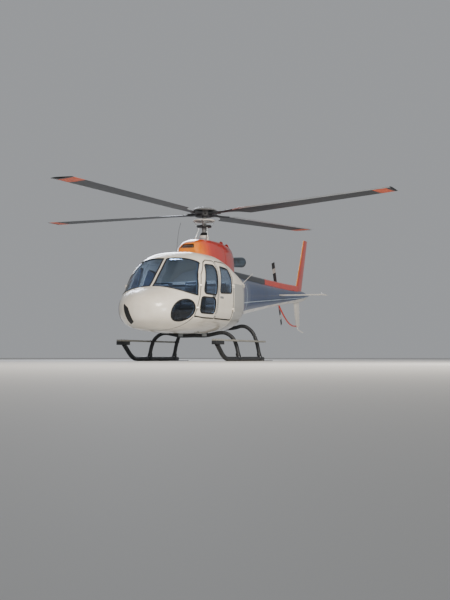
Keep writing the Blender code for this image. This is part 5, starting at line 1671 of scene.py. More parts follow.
for k, (c, s) in enumerate(circle(CAP_BOLTS, 0.5)):
    bolt = turned(f"cap_bolt_{k + 1}", [(0.010, 3.205), (0.010, 3.216), (0.006, 3.218), (0.006, 3.224)], 6)
    bolt.data.transform(Matrix.Translation((CAP_BOLT_CIRCLE * c, CAP_BOLT_CIRCLE * s, 0.008)))
    finish_piece(bolt, zinc_bolts, body="main_rotor")
for k in range(BLADE_COUNT):
    line = [(x, 0, BEARING_Z) for x in (0.185, 0.205, 0.207, 0.222)]
    damper = rod(f"hub_bearing_{k + 1}", line, [0.024, 0.024, 0.016, 0.014], 24)
    damper.data.transform(Matrix.Rotation(blade_turn(k + 0.5), 4, "Z"))
    finish_piece(damper, door_rubber, body="main_rotor")
print("hub made")

# %% Mast, swashplate and links
MAST_RADIUS = 0.050
MAST_FOOT_Z = 2.46
SWASH_Z, SWASH_RADIUS = 2.86, 0.160
LINK_Z, LINK_RADIUS = 2.98, 0.220
LINK_LEAD = 0.5
shaft = turned("mast_shaft", [
    (MAST_RADIUS - 0.003, MAST_FOOT_Z + 0.001), (MAST_RADIUS, MAST_FOOT_Z + 0.004), (MAST_RADIUS, 2.70),
    (MAST_RADIUS - 0.004, 2.705), (MAST_RADIUS - 0.004, HUB_LOW_Z - 0.03), (MAST_RADIUS, HUB_LOW_Z - 0.025),
    (MAST_RADIUS, HUB_LOW_Z),
], 48)
finish_piece(shaft, cap_paint, ("rotor_mast",), body="main_rotor")
plate = turned("swashplate_discs", [
    (MAST_RADIUS - 0.006, SWASH_Z - 0.030), (0.10, SWASH_Z - 0.030), (SWASH_RADIUS - 0.006, SWASH_Z - 0.020),
    (SWASH_RADIUS, SWASH_Z - 0.016), (SWASH_RADIUS, SWASH_Z - 0.004), (SWASH_RADIUS - 0.008, SWASH_Z - 0.002),
    (SWASH_RADIUS - 0.008, SWASH_Z + 0.002), (SWASH_RADIUS, SWASH_Z + 0.004), (SWASH_RADIUS, SWASH_Z + 0.016),
    (SWASH_RADIUS - 0.006, SWASH_Z + 0.020), (0.09, SWASH_Z + 0.022), (0.07, SWASH_Z + 0.035),
    (MAST_RADIUS - 0.006, SWASH_Z + 0.035),
], 64)
finish_piece(plate, powder_coat, body="main_rotor")
LINK_RING_HALF = 0.015
ring = ring_body("link_ring", [
    (LINK_RADIUS + LINK_RING_HALF * c, LINK_Z + LINK_RING_HALF * s) for c, s in circle(12)
], 72)
finish_piece(ring, band_paint, body="main_rotor")
for k in range(BLADE_COUNT):
    turn = blade_turn(k) + LINK_LEAD
    way = Vector((math.cos(turn), math.sin(turn), 0.0))
    low = way * (SWASH_RADIUS - 0.012) + Vector((0, 0, SWASH_Z))
    high = way * LINK_RADIUS + Vector((0, 0, LINK_Z))
    line = [low, *(low.lerp(high, share) for share in (0.2, 0.22, 0.78, 0.8)), high]
    link = rod(f"pitch_link_{k + 1}", line, [0.013, 0.013, 0.009, 0.009, 0.013, 0.013], 20)
    finish_piece(link, ground_steel, body="main_rotor")
    root = way * (MAST_RADIUS - 0.008) + Vector((0, 0, LINK_Z))
    spoke = rod(f"ring_spoke_{k + 1}", [root, high], 0.011, 20)
    finish_piece(spoke, ground_steel, body="main_rotor")
    eye = rod(f"link_eye_{k + 1}", [high - Vector((0, 0, 0.018)), high + Vector((0, 0, 0.018))], 0.017, 20)
    soften(eye, 0.002)
    finish_piece(eye, zinc_bolts, body="main_rotor")
boot = turned("mast_boot", [
    (MAST_RADIUS - 0.004, 2.665), (0.085, 2.667), (0.088, 2.675), (0.074, 2.685), (0.082, 2.695),
    (0.068, 2.705), (0.074, 2.715), (0.060, 2.725), (MAST_RADIUS - 0.004, 2.728),
], 48)
finish_piece(boot, door_rubber, body="main_rotor")
print("rotor head made")

# %% [markdown]
# ## Tail
# The boom is rolled sheet aluminium on ring frames. A tunnel cover on its back hides the tail
# rotor's drive shaft: dark where it leaves the engine bay, orange further aft. The fins and
# stabilisers are riveted aerofoils. The guard tube keeps people and grass off the tail rotor.

# %% Boom and shaft covers
boom_ys = stations(BOOM_START_Y + BEDDING, BODY[-1][0], 0.05)
boom = loft("boom_skin", [body_ring(y, 0.0, 72) for y in boom_ys])
finish_piece(boom, boom_enamel, ("tail_boom",), skin_value)
clear_of_boom = guide(loft("clear_of_boom", [body_ring(y, -CLEARANCE, 72, y) for y in [1.5, *boom_ys]]))

COVER_HALF, COVER_HEIGHT, COVER_GAP = 0.085, 0.130, 0.002
COVER_START_Y, COVER_SPLIT_Y, COVER_END_Y = 1.16, 3.37, 5.80
TAIL_CENTRE = Vector((-0.36, 5.44, 1.75))
TAIL_GEARBOX_RADIUS = 0.085


def cover_section(half, top, low):
    """An arched tunnel: straight sides and a round crown."""
    points = [(-half, low), (half, low)]
    for k in range(17):
        t = math.pi * k / 16.0
        points.append((half * math.cos(t), top - 0.05 + 0.05 * math.sin(t) ** 0.8))
    return points


for name, node, start, end, finish, slot in (
    ("shaft_cover_dark", "shaft_cover_front", COVER_START_Y, COVER_SPLIT_Y - COVER_GAP, dark_enamel,
     "dark_shell"),
    ("shaft_cover_orange", "shaft_cover_rear", COVER_SPLIT_Y + COVER_GAP, COVER_END_Y, orange_enamel,
     "orange_metal"),
):
    rings = []
    for y in stations(start, end, 0.06):
        top = skin_high(0.0, y) + COVER_HEIGHT
        rings.append([(x, y, z) for x, z in cover_section(COVER_HALF, top, top - COVER_HEIGHT - 0.06)])
    cover = loft(name, rings)
    carve(cover, clear_of_boom)
    if start < BOOM_START_Y:
        carve(cover, clear_of_aft)
    else:
        line = [(x, TAIL_CENTRE.y, TAIL_CENTRE.z) for x in (-0.4, 0.4)]
        carve(cover, guide(rod("tail_gearbox_room", line, TAIL_GEARBOX_RADIUS + 0.002, 48)))
    finish_piece(cover, finish, (node,), sharp=40.0)
print("boom made")

# %% Fins and stabilisers
UPPER_FIN = ((5.80, 1.78, 0.50, 0.075), (6.52, 3.27, 0.33, 0.050))
LOWER_FIN = ((5.68, 1.62, 0.48, 0.070), (5.87, 0.89, 0.30, 0.045))
STABILISER_Z, STABILISER_CHORD = 1.63, 0.45
# Width of the lighter strip on each fin's leading edge, a painted highlight.
EDGE_HIGHLIGHT_WIDTH = 0.03
STABILISER_ROOT, STABILISER_TIP = (4.05, 0.02), (4.25, 1.265)


def fin_form(name, spans, rows=9):
    """An upright aerofoil between its root and tip: Y of the leading edge, Z, chord and thickness."""
    rings = []
    for k in range(rows):
        t = k / (rows - 1.0)
        y, z, chord, thickness = (a + (b - a) * t for a, b in zip(*spans))
        section = aerofoil(chord, thickness, chord, count=18)
        rings.append([(up, y + chord - along, z) for along, up in section])
    return loft(name, rings)


# Each fin's leading edge gets a lighter strip as painted highlight: pale orange on the upper fin, light grey
# band paint on the lower.
for name, node, spans, finish, edge_highlight_finish, slot in (
    ("upper_fin_skin", "upper_fin", UPPER_FIN, orange_enamel, fin_edge_highlight, "orange_metal"),
    ("lower_fin_skin", "lower_fin", LOWER_FIN, cream_enamel, band_paint, "cream_metal"),
):
    fin = fin_form(name, spans)
    carve(fin, clear_of_boom)
    (y0, z0, _, _), (y1, z1, _, _) = spans
    paint_faces(fin, (finish, edge_highlight_finish), lambda face: int(
        face.center.y < y0 + (y1 - y0) * (face.center.z - z0) / (z1 - z0) + EDGE_HIGHLIGHT_WIDTH
    ))
    finish_piece(fin, None, (node,), sharp=30.0)
for word, side in SIDES:
    rings = []
    for k in range(7):
        t = k / 6.0
        y = STABILISER_ROOT[0] + (STABILISER_TIP[0] - STABILISER_ROOT[0]) * t
        x = STABILISER_ROOT[1] + (STABILISER_TIP[1] - STABILISER_ROOT[1]) * t
        section = aerofoil(STABILISER_CHORD, 0.060, STABILISER_CHORD, count=18)
        rings.append([
            (side * x, y + STABILISER_CHORD - along, STABILISER_Z + up * 0.7) for along, up in section
        ])
    wing = loft(f"stabiliser_{word}_skin", rings)
    carve(wing, clear_of_boom)
    finish_piece(wing, cream_enamel, (f"stabiliser_{word}",), sharp=30.0)
BUMPER_ROUTE = ((5.97, 0.95), (6.00, 0.86), (6.12, 0.80), (6.45, 0.745))
bumper = rod("tail_bumper", bend([(0, y, z) for y, z in BUMPER_ROUTE]), 0.016)
finish_piece(bumper, cream_enamel)
GUARD_ROUTE = ((4.52, 1.46), (4.66, 1.33), (4.95, 1.14), (5.28, 0.98), (5.60, 0.905), (5.882, 0.90))
guard = rod("guard_tube_bend", bend([(0.0, y, z) for y, z in GUARD_ROUTE]), 0.022, 28)
carve(guard, clear_of_boom)
finish_piece(guard, orange_enamel, ("guard_tube",))
print("fins made")

# %% [markdown]
# The tail rotor turns on starboard, on a small right-angle gearbox. Its two blades are one piece
# across the hub, and twist as they are pushed by the collar on the shaft.

# %% Tail rotor
TAIL_RADIUS = 0.86
TAIL_LEAN = math.radians(20.0)
GEARBOX_END_X = -0.27
y, z = TAIL_CENTRE.y, TAIL_CENTRE.z
line = [(x, y, z) for x in (0.0, -0.10, -0.11, -0.19, -0.20, -0.23, GEARBOX_END_X)]
housing = rod("tail_gearbox_case", line, [0.084, 0.084, 0.080, 0.080, 0.084, 0.062, 0.055], 48)
carve(housing, clear_of_boom)
finish_piece(housing, cast_alloy, ("tail_gearbox",))
line = [(x, y, z) for x in (GEARBOX_END_X - BEDDING, -0.315, -0.320, -0.392, -0.405)]
blades = rod("tail_rotor_pair", line, [0.028, 0.028, 0.055, 0.053, 0.045], 40)
for k in range(2):
    rings = []
    for radius, chord, thickness in (
        (0.03, 0.070, 0.036), (0.16, 0.080, 0.032), (0.22, 0.115, 0.027), (0.30, 0.160, 0.022),
        (0.58, 0.160, 0.019), (0.70, 0.160, 0.018), (TAIL_RADIUS, 0.160, 0.016),
    ):
        section = aerofoil(chord, thickness, chord * 0.35, math.radians(8.0), 12)
        rings.append([(up, along, radius) for along, up in section])
    blade = guide(loft(f"tail_blade_{k + 1}", rings))
    blade.data.transform(Matrix.Translation(TAIL_CENTRE) @ Matrix.Rotation(TAIL_LEAN + k * math.pi, 4, "X"))
    carve(blades, blade, "UNION")
TAIL_BAND = (0.58, 0.70)
paint_faces(blades, (blade_skin, band_paint), lambda face: int(
    TAIL_BAND[0] < (face.center - TAIL_CENTRE).length < TAIL_BAND[1]
))
finish_piece(blades, None, ("tail_rotor",), sharp=30.0, body="tail_rotor")
print("tail made")

# %% [markdown]
# ## Landing gear
# Two bent crosstubes spring under the belly and carry the skids. The tubes are powder coated black.
# A flat toe plate is bolted to each skid's bent-up nose, a spring strip trails behind, and a
# footstep runs along the tubes outboard of the doors.

# %% Skids, crosstubes and steps
SKID_TRACK = 1.02
SKID_RADIUS = 0.045
TUBE_RADIUS = 0.040
FRONT_TUBE_Y, AFT_TUBE_Y = -0.53, 0.63
SKID_ROUTE = (
    (0.80, SKID_RADIUS), (-1.02, SKID_RADIUS), (-1.20, 0.058), (-1.36, 0.130), (-1.50, 0.235), (-1.63, 0.335)
)
FRONT_TUBE = (
    (0.00, None), (0.30, None), (0.62, 0.580), (0.78, 0.548), (0.90, 0.450), (0.965, 0.320), (1.00, 0.180),
    (1.02, 0.060),
)
AFT_TUBE = (
    (0.00, None), (0.30, None), (0.46, 0.715), (0.60, 0.745), (0.73, 0.715), (0.86, 0.600), (0.945, 0.410),
    (0.995, 0.200), (1.02, 0.060),
)
STEP_LOW, STEP_HIGH = (0.985, -1.80, 0.395), (1.095, 0.80, 0.430)


def tube_route(table, y, steps=6):
    centre = skin_low(0.0, y) - TUBE_RADIUS - 0.0003
    half = [(x, centre if z is None else z) for x, z in table]
    return bend([(-x, y, z) for x, z in half[:0:-1]] + [(x, y, z) for x, z in half], steps)


for word, side in SIDES:
    x = side * SKID_TRACK
    straight, *nose_route = SKID_ROUTE
    bent = [tuple(point) for point in bend([(x, *place) for place in nose_route], 5)]
    route = [(x, *straight), (x, -0.90, SKID_RADIUS), *bent]
    skid = rod(f"skid_{word}_tube", route, SKID_RADIUS, 32)
    xs = sorted((side * 0.985, side * 1.095))
    toe = guide(block(f"toe_plate_{word}", (xs[0], -1.80, 0.325), (xs[1], -1.44, 0.3947)))
    carve(skid, toe, "UNION")
    soften(skid, 0.003, 2, math.radians(50.0))
    finish_piece(skid, powder_coat, (f"skid_{word}",))
    xs = sorted((side * 1.0, side * 1.04))
    spring = block(f"skid_{word}_spring", (xs[0], 0.60, 0.0), (xs[1], 1.36, 0.012))
    soften(spring, 0.003)
    finish_piece(spring, powder_coat)
    xs = sorted((side * STEP_LOW[0], side * STEP_HIGH[0]))
    step = block(f"step_{word}_tread", (xs[0], STEP_LOW[1], STEP_LOW[2]), (xs[1], STEP_HIGH[1], STEP_HIGH[2]))
    soften(step, 0.006, 3)
    finish_piece(step, step_paint, (f"step_{word}",))
    for y in (FRONT_TUBE_Y, AFT_TUBE_Y):
        ends = sorted((side * 0.90, side * 1.00))
        part = "front" if y == FRONT_TUBE_Y else "aft"
        bracket = block(f"step_{word}_bracket_{part}", (ends[0], y - 0.03, 0.400), (ends[1], y + 0.03, 0.425))
        soften(bracket, 0.003)
        finish_piece(bracket, powder_coat)

for name, table, y in (("front", FRONT_TUBE, FRONT_TUBE_Y), ("aft", AFT_TUBE, AFT_TUBE_Y)):
    tube = rod(f"crosstube_{name}_bend", tube_route(table, y), TUBE_RADIUS, 36)
    finish_piece(tube, powder_coat, (f"crosstube_{name}",))
    for word, side in SIDES:
        x = side * SKID_TRACK
        line = [(x, y - 0.085, SKID_RADIUS), (x, y + 0.085, SKID_RADIUS)]
        saddle = rod(f"crosstube_{name}_saddle_{word}", line, SKID_RADIUS + 0.007, 36)
        low = guide(block("saddle_floor", (x - 0.2, y - 0.3, -0.1), (x + 0.2, y + 0.3, 0.004)))
        carve(saddle, low)
        soften(saddle, 0.002)
        finish_piece(saddle, powder_coat)
        collar = rod(f"crosstube_{name}_socket_{word}", [
            (side * 1.014, y, 0.085), (side * 1.004, y, 0.135), (side * 0.998, y, 0.165)
        ], [TUBE_RADIUS + 0.012, TUBE_RADIUS + 0.009, TUBE_RADIUS + 0.006], 36)
        soften(collar, 0.002)
        finish_piece(collar, powder_coat)
        for dy in (-0.06, 0.06):
            for dx in (-0.03, 0.03):
                mark = "a" if dy < 0.0 else "b"
                bolt = turned(
                    f"saddle_bolt_{name}_{word}_{mark}{1 if dx < 0.0 else 2}",
                    [(0.009, SKID_RADIUS * 1.62), (0.009, 0.098), (0.006, 0.100)], 6, (x + dx, y + dy)
                )
                finish_piece(bolt, zinc_bolts)
        xs = sorted((side * 0.22, side * 0.32))
        centre = skin_low(0.0, y) - TUBE_RADIUS
        clamp = block(
            f"crosstube_{name}_clamp_{word}", (xs[0], y - 0.05, centre - 0.02),
            (xs[1], y + 0.05, centre + 0.14)
        )
        carve(clamp, clear_of_cabin if y < 0.0 else clear_of_aft)
        soften(clamp, 0.004)
        finish_piece(clamp, cast_alloy)
print("landing gear made")

# %% [markdown]
# ## Cabin
# Through the panes one sees seats, a floor and a dark panel. The front seats are moulded buckets
# with two loose cushions, and the rear bench is one bucket across the cabin. Cushions are cloth over
# foam. Each starts as a rounded block, is remeshed to small even squares, and is blown up by a cloth
# simulation, so that its crown and its pulled-in edges come from the cloth itself. Sewn channels
# come last, because a remesh would lose them.

# %% Cushions
CUSHION_CAP = 0.022
CUSHION_PRESSURE = 4.0
CUSHION_FRAMES = 20
CHANNEL_DEPTH = 0.006
CHANNEL_WIDTH = 0.010


def cushion(name, size, voxel, channels):
    """A blown and sewn cushion, centred, lying flat, with its channels at these shares of its length."""
    half = Vector(size) / 2.0
    thing = block(name, -half, half)
    soften(thing, size[2] * 0.30, 4)
    change = thing.modifiers.new("even squares", "REMESH")
    change.mode = "VOXEL"
    change.voxel_size = voxel
    settle(thing)
    start = [vertex.co.copy() for vertex in thing.data.vertices]
    cloth = thing.modifiers.new("cloth", "CLOTH")
    cloth.settings.use_pressure = True
    cloth.settings.uniform_pressure_force = CUSHION_PRESSURE
    cloth.settings.effector_weights.gravity = 0.0
    cloth.settings.quality = 4
    cloth.point_cache.frame_end = CUSHION_FRAMES
    for step in range(1, CUSHION_FRAMES + 1):
        bpy.context.scene.frame_set(step)
    settle(thing)
    bpy.context.scene.frame_set(1)
    for vertex, before in zip(thing.data.vertices, start):
        move = vertex.co - before
        if move.length > CUSHION_CAP:
            vertex.co = before + move.normalized() * CUSHION_CAP
    for vertex in thing.data.vertices:
        for share in channels:
            away = abs(vertex.co.y - (share - 0.5) * size[1])
            if away < CHANNEL_WIDTH * 2.0 and vertex.co.z > 0.0:
                vertex.co.z -= CHANNEL_DEPTH * math.exp(-(away / CHANNEL_WIDTH) ** 2)
    change = thing.modifiers.new("fine cloth", "SUBSURF")
    change.levels = 1
    return settle(thing)


def seated(thing, middle, lean):
    thing.data.transform(Matrix.Translation(middle) @ Matrix.Rotation(lean, 4, "X"))
    finish_piece(thing, trim_cloth, sharp=80.0)


FLOOR_LOW, FLOOR_TOP = 0.80, 0.825
FLOOR_FRONT_Y = -2.46
SEAT_FOOT = FLOOR_TOP + BEDDING
SEAT_XS = (0.14, 0.62)
BENCH_HALF = 0.74
seat_pad = guide(cushion("seat_pad", (0.42, 0.37, 0.105), 0.009, (0.36, 0.66)))
seat_back = guide(cushion("seat_back", (0.40, 0.43, 0.070), 0.009, (0.30, 0.55, 0.80)))
bench_pad = guide(cushion("bench_pad", (1.40, 0.29, 0.105), 0.014, (0.45,)))
bench_back = guide(cushion("bench_back", (1.40, 0.42, 0.060), 0.014, (0.35, 0.70)))
print("cushions blown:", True)

# %% Seats
SEAT_LEAN = math.radians(79.5)
BENCH_LEAN = math.radians(85.0)
bucket = [
    (-1.785, SEAT_FOOT), (-1.795, 0.960), (-1.770, 1.005), (-1.400, 0.985), (-1.325, 1.020), (-1.215, 1.585),
    (-1.172, 1.585), (-1.262, 0.960), (-1.262, SEAT_FOOT),
]
for word, side in SIDES:
    low, high = sorted((side * (SEAT_XS[0] + 0.01), side * (SEAT_XS[1] - 0.01)))
    shell = prism(f"front_seat_{word}_bucket", rounded(bucket, 0.025, 4), low, high)
    soften(shell, 0.008, 3)
    finish_piece(shell, moulded_abs, (f"front_seat_{word}",))
    x = side * sum(SEAT_XS) / 2.0
    seated(twin(f"front_seat_{word}_pad", seat_pad), Vector((x, -1.590, 1.060)), math.radians(-3.5))
    seated(twin(f"front_seat_{word}_back", seat_back), Vector((x, -1.318, 1.340)), SEAT_LEAN)
bench = [
    (-0.985, SEAT_FOOT), (-0.992, 0.970), (-0.970, 1.005), (-0.700, 0.990), (-0.600, 1.020), (-0.555, 1.590),
    (-0.512, 1.590), (-0.512, SEAT_FOOT),
]
shell = prism("rear_bench_bucket", rounded(bench, 0.025, 4), -BENCH_HALF + 0.01, BENCH_HALF - 0.01)
soften(shell, 0.008, 3)
finish_piece(shell, moulded_abs, ("rear_bench",))
seated(twin("rear_bench_pad", bench_pad), Vector((0.0, -0.830, 1.060)), math.radians(-3.0))
seated(twin("rear_bench_back", bench_back), Vector((0.0, -0.618, 1.345)), BENCH_LEAN)
cabin_floor = twin("cabin_floor_vinyl", solid_form("floor_space", front_ys, WALL + 0.0025, end_shift=0.02))
slab = block("floor_slab", (-FAR, FLOOR_FRONT_Y, FLOOR_LOW), (FAR, CABIN_END_Y - SEAM, FLOOR_TOP))
carve(cabin_floor, guide(slab), "INTERSECT")
finish_piece(cabin_floor, floor_vinyl, ("cabin_floor",))
print("seats made")

# %% [markdown]
# The instrument panel is a hooded box on a pedestal. Round gauges face the pilots under the hood's
# brow, and a stack of radios slopes down the pedestal. Dials are left plain, so they carry no words.

# %% Instrument panel and controls
DASH = [
    (-2.258, 1.122), (-2.238, 1.298), (-2.10, 1.358), (-2.002, 1.338), (-2.004, 1.322), (-2.020, 1.316),
    (-2.012, 1.102),
]
dash = prism("instrument_panel_hood", rounded(DASH, 0.006, 2), -0.418, 0.418)
pedestal = [(-2.198, SEAT_FOOT), (-2.198, 1.20), (-2.03, 1.198), (-1.862, 0.982), (-1.862, SEAT_FOOT)]
carve(dash, guide(prism("pedestal_form", rounded(pedestal, 0.015, 3), -0.108, 0.108)), "UNION")
soften(dash, 0.005, 2)
finish_piece(dash, moulded_abs, ("instrument_panel",))


def faced(thing, place, lean):
    """Turns a piece that was made facing up so that it faces the seats, and sets it in place."""
    thing.data.transform(Matrix.Translation(place) @ Matrix.Rotation(lean, 4, "X"))
    return thing


PANEL_FACE_LEAN = math.radians(-88.0)
PEDAL_LEAN = math.radians(-20.0)
GAUGES = [(x, z, 0.036) for x in (-0.33, -0.24, -0.15, 0.15, 0.24, 0.33) for z in (1.265, 1.175)]
GAUGES += [(x, z, 0.027) for x in (-0.06, 0.0, 0.06) for z in (1.27, 1.215)]
bezels, faces = [], []
for x, z, radius in GAUGES:
    place = Vector((x, -2.0125 - (1.20 - z) * 0.035, z))
    bezel = ring_body("bezel", [
        (radius, -0.003), (radius, 0.006), (radius - 0.003, 0.009), (radius - 0.006, 0.003)
    ], 32)
    bezels.append(faced(bezel, place, PANEL_FACE_LEAN))
    face = turned("dial", [(radius - 0.005, -0.002), (radius - 0.005, 0.002), (radius - 0.006, 0.0025)], 32)
    faces.append(faced(face, place, PANEL_FACE_LEAN))
finish_piece(gather("gauge_bezels", bezels), powder_coat)
finish_piece(gather("gauge_dials", faces), lamp_glass)
RADIO_LEAN = -math.atan2(1.198 - 0.982, 2.03 - 1.862)
radios, knobs = [], []
for k, share in enumerate((0.22, 0.50, 0.78)):
    middle = Vector((0.0, -2.03 + 0.168 * share, 1.198 - 0.216 * share))
    radio = block("radio", (-0.085, -0.032, -0.004), (0.085, 0.032, 0.005))
    soften(radio, 0.002)
    radios.append(faced(radio, middle, RADIO_LEAN))
    for x in (-0.065, 0.065):
        knob = turned("knob", [(0.010, 0.004), (0.009, 0.014), (0.007, 0.015)], 20, (x, 0.0))
        knobs.append(faced(knob, middle, RADIO_LEAN))
finish_piece(gather("pedestal_radios", radios), cap_paint)
finish_piece(gather("pedestal_knobs", knobs), powder_coat)

for word, side in SIDES:
    x = side * 0.38
    line = [(x, -1.96, FLOOR_TOP), (x, -1.97, 0.95), (x, -1.90, 1.10), (x, -1.885, 1.20)]
    stick = rod(f"cyclic_{word}", bend(line), 0.011, 20)
    finish_piece(stick, powder_coat)
    line = [(x, -1.888, 1.15), (x, -1.884, 1.19), (x, -1.880, 1.26), (x, -1.886, 1.275)]
    grip = rod(f"cyclic_{word}_grip", line, [0.014, 0.019, 0.018, 0.010], 24)
    finish_piece(grip, door_rubber)
    boot = turned(f"cyclic_{word}_boot", [
        (0.055, FLOOR_TOP), (0.050, 0.840), (0.030, 0.865), (0.014, 0.905)
    ], 32, (x, -1.963))
    finish_piece(boot, door_rubber)
    lever_x = -0.10 if side == STARBOARD else 0.66
    line = [(lever_x, *place) for place in ((-1.36, 0.845), (-1.62, 0.985), (-1.63, 0.99), (-1.76, 1.055))]
    lever = rod(f"collective_{word}", line, [0.010, 0.010, 0.017, 0.016], 20)
    finish_piece(lever, powder_coat)
    post = block(
        f"collective_{word}_post", (lever_x - 0.014, -1.385, FLOOR_TOP), (lever_x + 0.014, -1.335, 0.865)
    )
    finish_piece(post, powder_coat)
    pedals = []
    for foot_x in (x - 0.085, x + 0.085):
        plate = block("pedal", (-0.042, -0.006, -0.05), (0.042, 0.006, 0.05))
        soften(plate, 0.004)
        pedals.append(faced(plate, (foot_x, -2.27, 0.945), PEDAL_LEAN))
        pedals.append(rod("pedal arm", [(foot_x, -2.29, 0.93), (foot_x, -2.30, FLOOR_TOP)], 0.009, 16))
    pedals = gather(f"pedals_{word}", pedals)
    finish_piece(pedals, powder_coat)
print("gauges:", len(GAUGES))

# %% [markdown]
# ## Trim
# The dark lines round the doors are rubber gaskets on the door frames. Two landing lamps stand in
# the belly, each a steel rim, a bright dish and a pressed lens.

# %% Gaskets, sealant and lamps
GASKET_WIDTH, GASKET_HEIGHT = 0.018, 0.0015
for word, side in SIDES:
    for kind, outline in (("front_door", front_doorway(False)), ("rear_door", rear_doorway(False))):
        route = side_route(rounded(grown(outline, GASKET_WIDTH * 0.4), 0.03, 5), side, 0.02)
        gasket = strip(f"{kind}_{word}_gasket", route, GASKET_WIDTH, GASKET_HEIGHT, sink=0.002)
        finish_piece(gasket, door_rubber)
seam = []
for word, side in SIDES[::-1]:
    half = []
    for k in range(241):
        z = SILL_Z - (SILL_Z - skin_low(0.0, -2.32)) * k / 240.0
        y = SEAM_LOW[0] + (z - SEAM_LOW[1]) / (SEAM_HIGH[1] - SEAM_LOW[1]) * (SEAM_HIGH[0] - SEAM_LOW[0])
        x = skin_x(y, z)
        if x > 0.02:
            half.append(Vector((side * x, y, z)))
    seam += half if side == STARBOARD else half[::-1]
sealant = strip("nose_seam_sealant", spaced(seam, 0.02), 0.014, 0.0010, closed=False, sink=0.002)
finish_piece(sealant, door_rubber)

LANDING_LAMPS = (("large", -0.15, -1.51, 0.080), ("small", 0.38, -1.19, 0.050))
for word, x, y, radius in LANDING_LAMPS:
    base = skin_low(x, y)
    rim = ring_body(f"landing_lamp_{word}_rim", [
        (radius, 0.030), (radius, -0.004), (radius * 0.96, -0.009), (radius * 0.88, -0.0115),
        (radius * 0.84, -0.009), (radius * 0.84, 0.030),
    ], 56)
    rim.data.transform(Matrix.Translation((x, y, base)))
    finish_piece(rim, ground_steel)
    dish = turned(f"landing_lamp_{word}_dish", [
        (radius * 0.84, -0.002), (radius * 0.60, 0.012), (radius * 0.30, 0.022), (radius * 0.05, 0.026),
        (radius * 0.05, 0.032), (radius * 0.85, 0.032),
    ], 56)
    dish.data.transform(Matrix.Translation((x, y, base)))
    finish_piece(dish, leading_steel)
    lens = turned(f"landing_lamp_{word}_lens", [
        (radius * 0.84, -0.003), (radius * 0.84, -0.006), (radius * 0.60, -0.0095), (radius * 0.25, -0.0115),
        (radius * 0.02, -0.012),
    ], 56)
    lens.data.transform(Matrix.Translation((x, y, base)))
    finish_piece(lens, lamp_glass)
print("landing lamps:", len(LANDING_LAMPS))

# %% [markdown]
# Handles, latches and rivets come next. Handles are flush levers on either side of the pillar
# between the doors. The cowls are held by small round camlocks. Rivets run along the sheet-metal frames of
# the tail: each is a low dome, and a whole row is one mesh.

# %% Handles, latches and rivets


def on_surface(thing, spot, value=skin_value, along=Vector((0.0, 1.0, 0.0))):
    """Turns a piece that faces +Z to face out of the surface here, with its +X along the given way."""
    out = Vector(facing(value, np.array([tuple(spot)]))[0])
    first = (along - out * along.dot(out)).normalized()
    second = out.cross(first)
    thing.data.transform(Matrix.Translation(spot) @ Matrix((first, second, out)).transposed().to_4x4())
    return thing


def dome(radius, height):
    return turned("dome", [
        (radius, -0.002), (radius, height * 0.3), (radius * 0.75, height * 0.8), (radius * 0.2, height)
    ], 10)


def row_of_domes(name, spots, radius, height, finish, body, slot, value=skin_value):
    row = gather(name, [on_surface(dome(radius, height), spot, value) for spot in spots])
    return finish_piece(row, finish, sharp=60.0, body=body)


RIVET = (0.0045, 0.0016)
HANDLES = (("front_door", -1.452, 1.268), ("rear_door", -1.105, 1.262))
for word, side in SIDES:
    for kind, y, z in HANDLES:
        spot = on_skin(y, z, side)
        cup = block("cup", (-0.075, -0.019, -0.004), (0.075, 0.019, 0.002))
        soften(cup, 0.0015)
        on_surface(cup, spot)
        finish_piece(
            cup, door_rubber, body=f"{kind}_{word}", name=f"{kind}_{word}_handle_plate"
        )
        lever = block("lever", (-0.066, -0.011, 0.001), (0.050, 0.011, 0.011))
        soften(lever, 0.004, 3)
        on_surface(lever, spot)
        finish_piece(lever, cast_alloy, body=f"{kind}_{word}", name=f"{kind}_{word}_handle")
    spots = [on_skin(y, 1.035 + (y - 0.08) * 0.13, side) for y in (0.20, 0.39, 0.58)]
    name = f"baggage_door_{word}"
    row_of_domes(f"{name}_locks", spots, 0.013, 0.003, zinc_bolts, name, "bare_steel")
    spots = []
    for y in (-0.38, -0.13, 0.12, 0.36):
        z = 2.49
        spots.append(Vector((side * cowl_side(y, z), y, z)))
    name = f"gearbox_cowl_{word}"
    row_of_domes(f"{name}_locks", spots, 0.011, 0.003, zinc_bolts, name, "bare_steel", cowl_value)
    spots = [Vector((side * cowl_side(y, 2.03), y, 2.03)) for y in (0.50, 0.71, 0.92)]
    name = f"engine_cowl_{word}"
    row_of_domes(f"{name}_locks", spots, 0.011, 0.003, zinc_bolts, name, "bare_steel", cowl_value)
    spots = [on_skin(y, z, side) for y in (1.20,) for z in np.linspace(1.05, 1.80, 20)]
    spots += [on_skin(y, 1.785 - (y - 0.3) * 0.02, side) for y in np.linspace(0.75, 1.95, 31)]
    row_of_domes(f"rear_body_rivets_{word}", spots, *RIVET, rear_enamel_with_shade, "fuselage", "grey_metal")
spots = []
for y in (2.03, 2.90, 3.75, 4.60, 5.45, 6.25):
    count = int(30 + 30 * skin_x(y, section_at(y)[2]) / 0.28)
    ring = [Vector(tuple(float(v) for v in point)) for point in body_ring(y, 0.0, count)]
    spots += [p for p in ring if not (abs(p.x) < 0.10 and p.z > section_at(y)[2])]
row_of_domes("boom_rivets", spots, *RIVET, boom_enamel, "fuselage", "blue_metal")
print("boom rivets:", len(spots))

# %% [markdown]
# Last come the fittings that stand off the surface: two antennas, the servo rods that tilt the
# swashplate, the bolts of the toe plates and steps, and the position lamps. A thin dark sheet on the
# wedge low on the nose's starboard side is painted shade, and a wire gauze keeps birds out of the air intake.

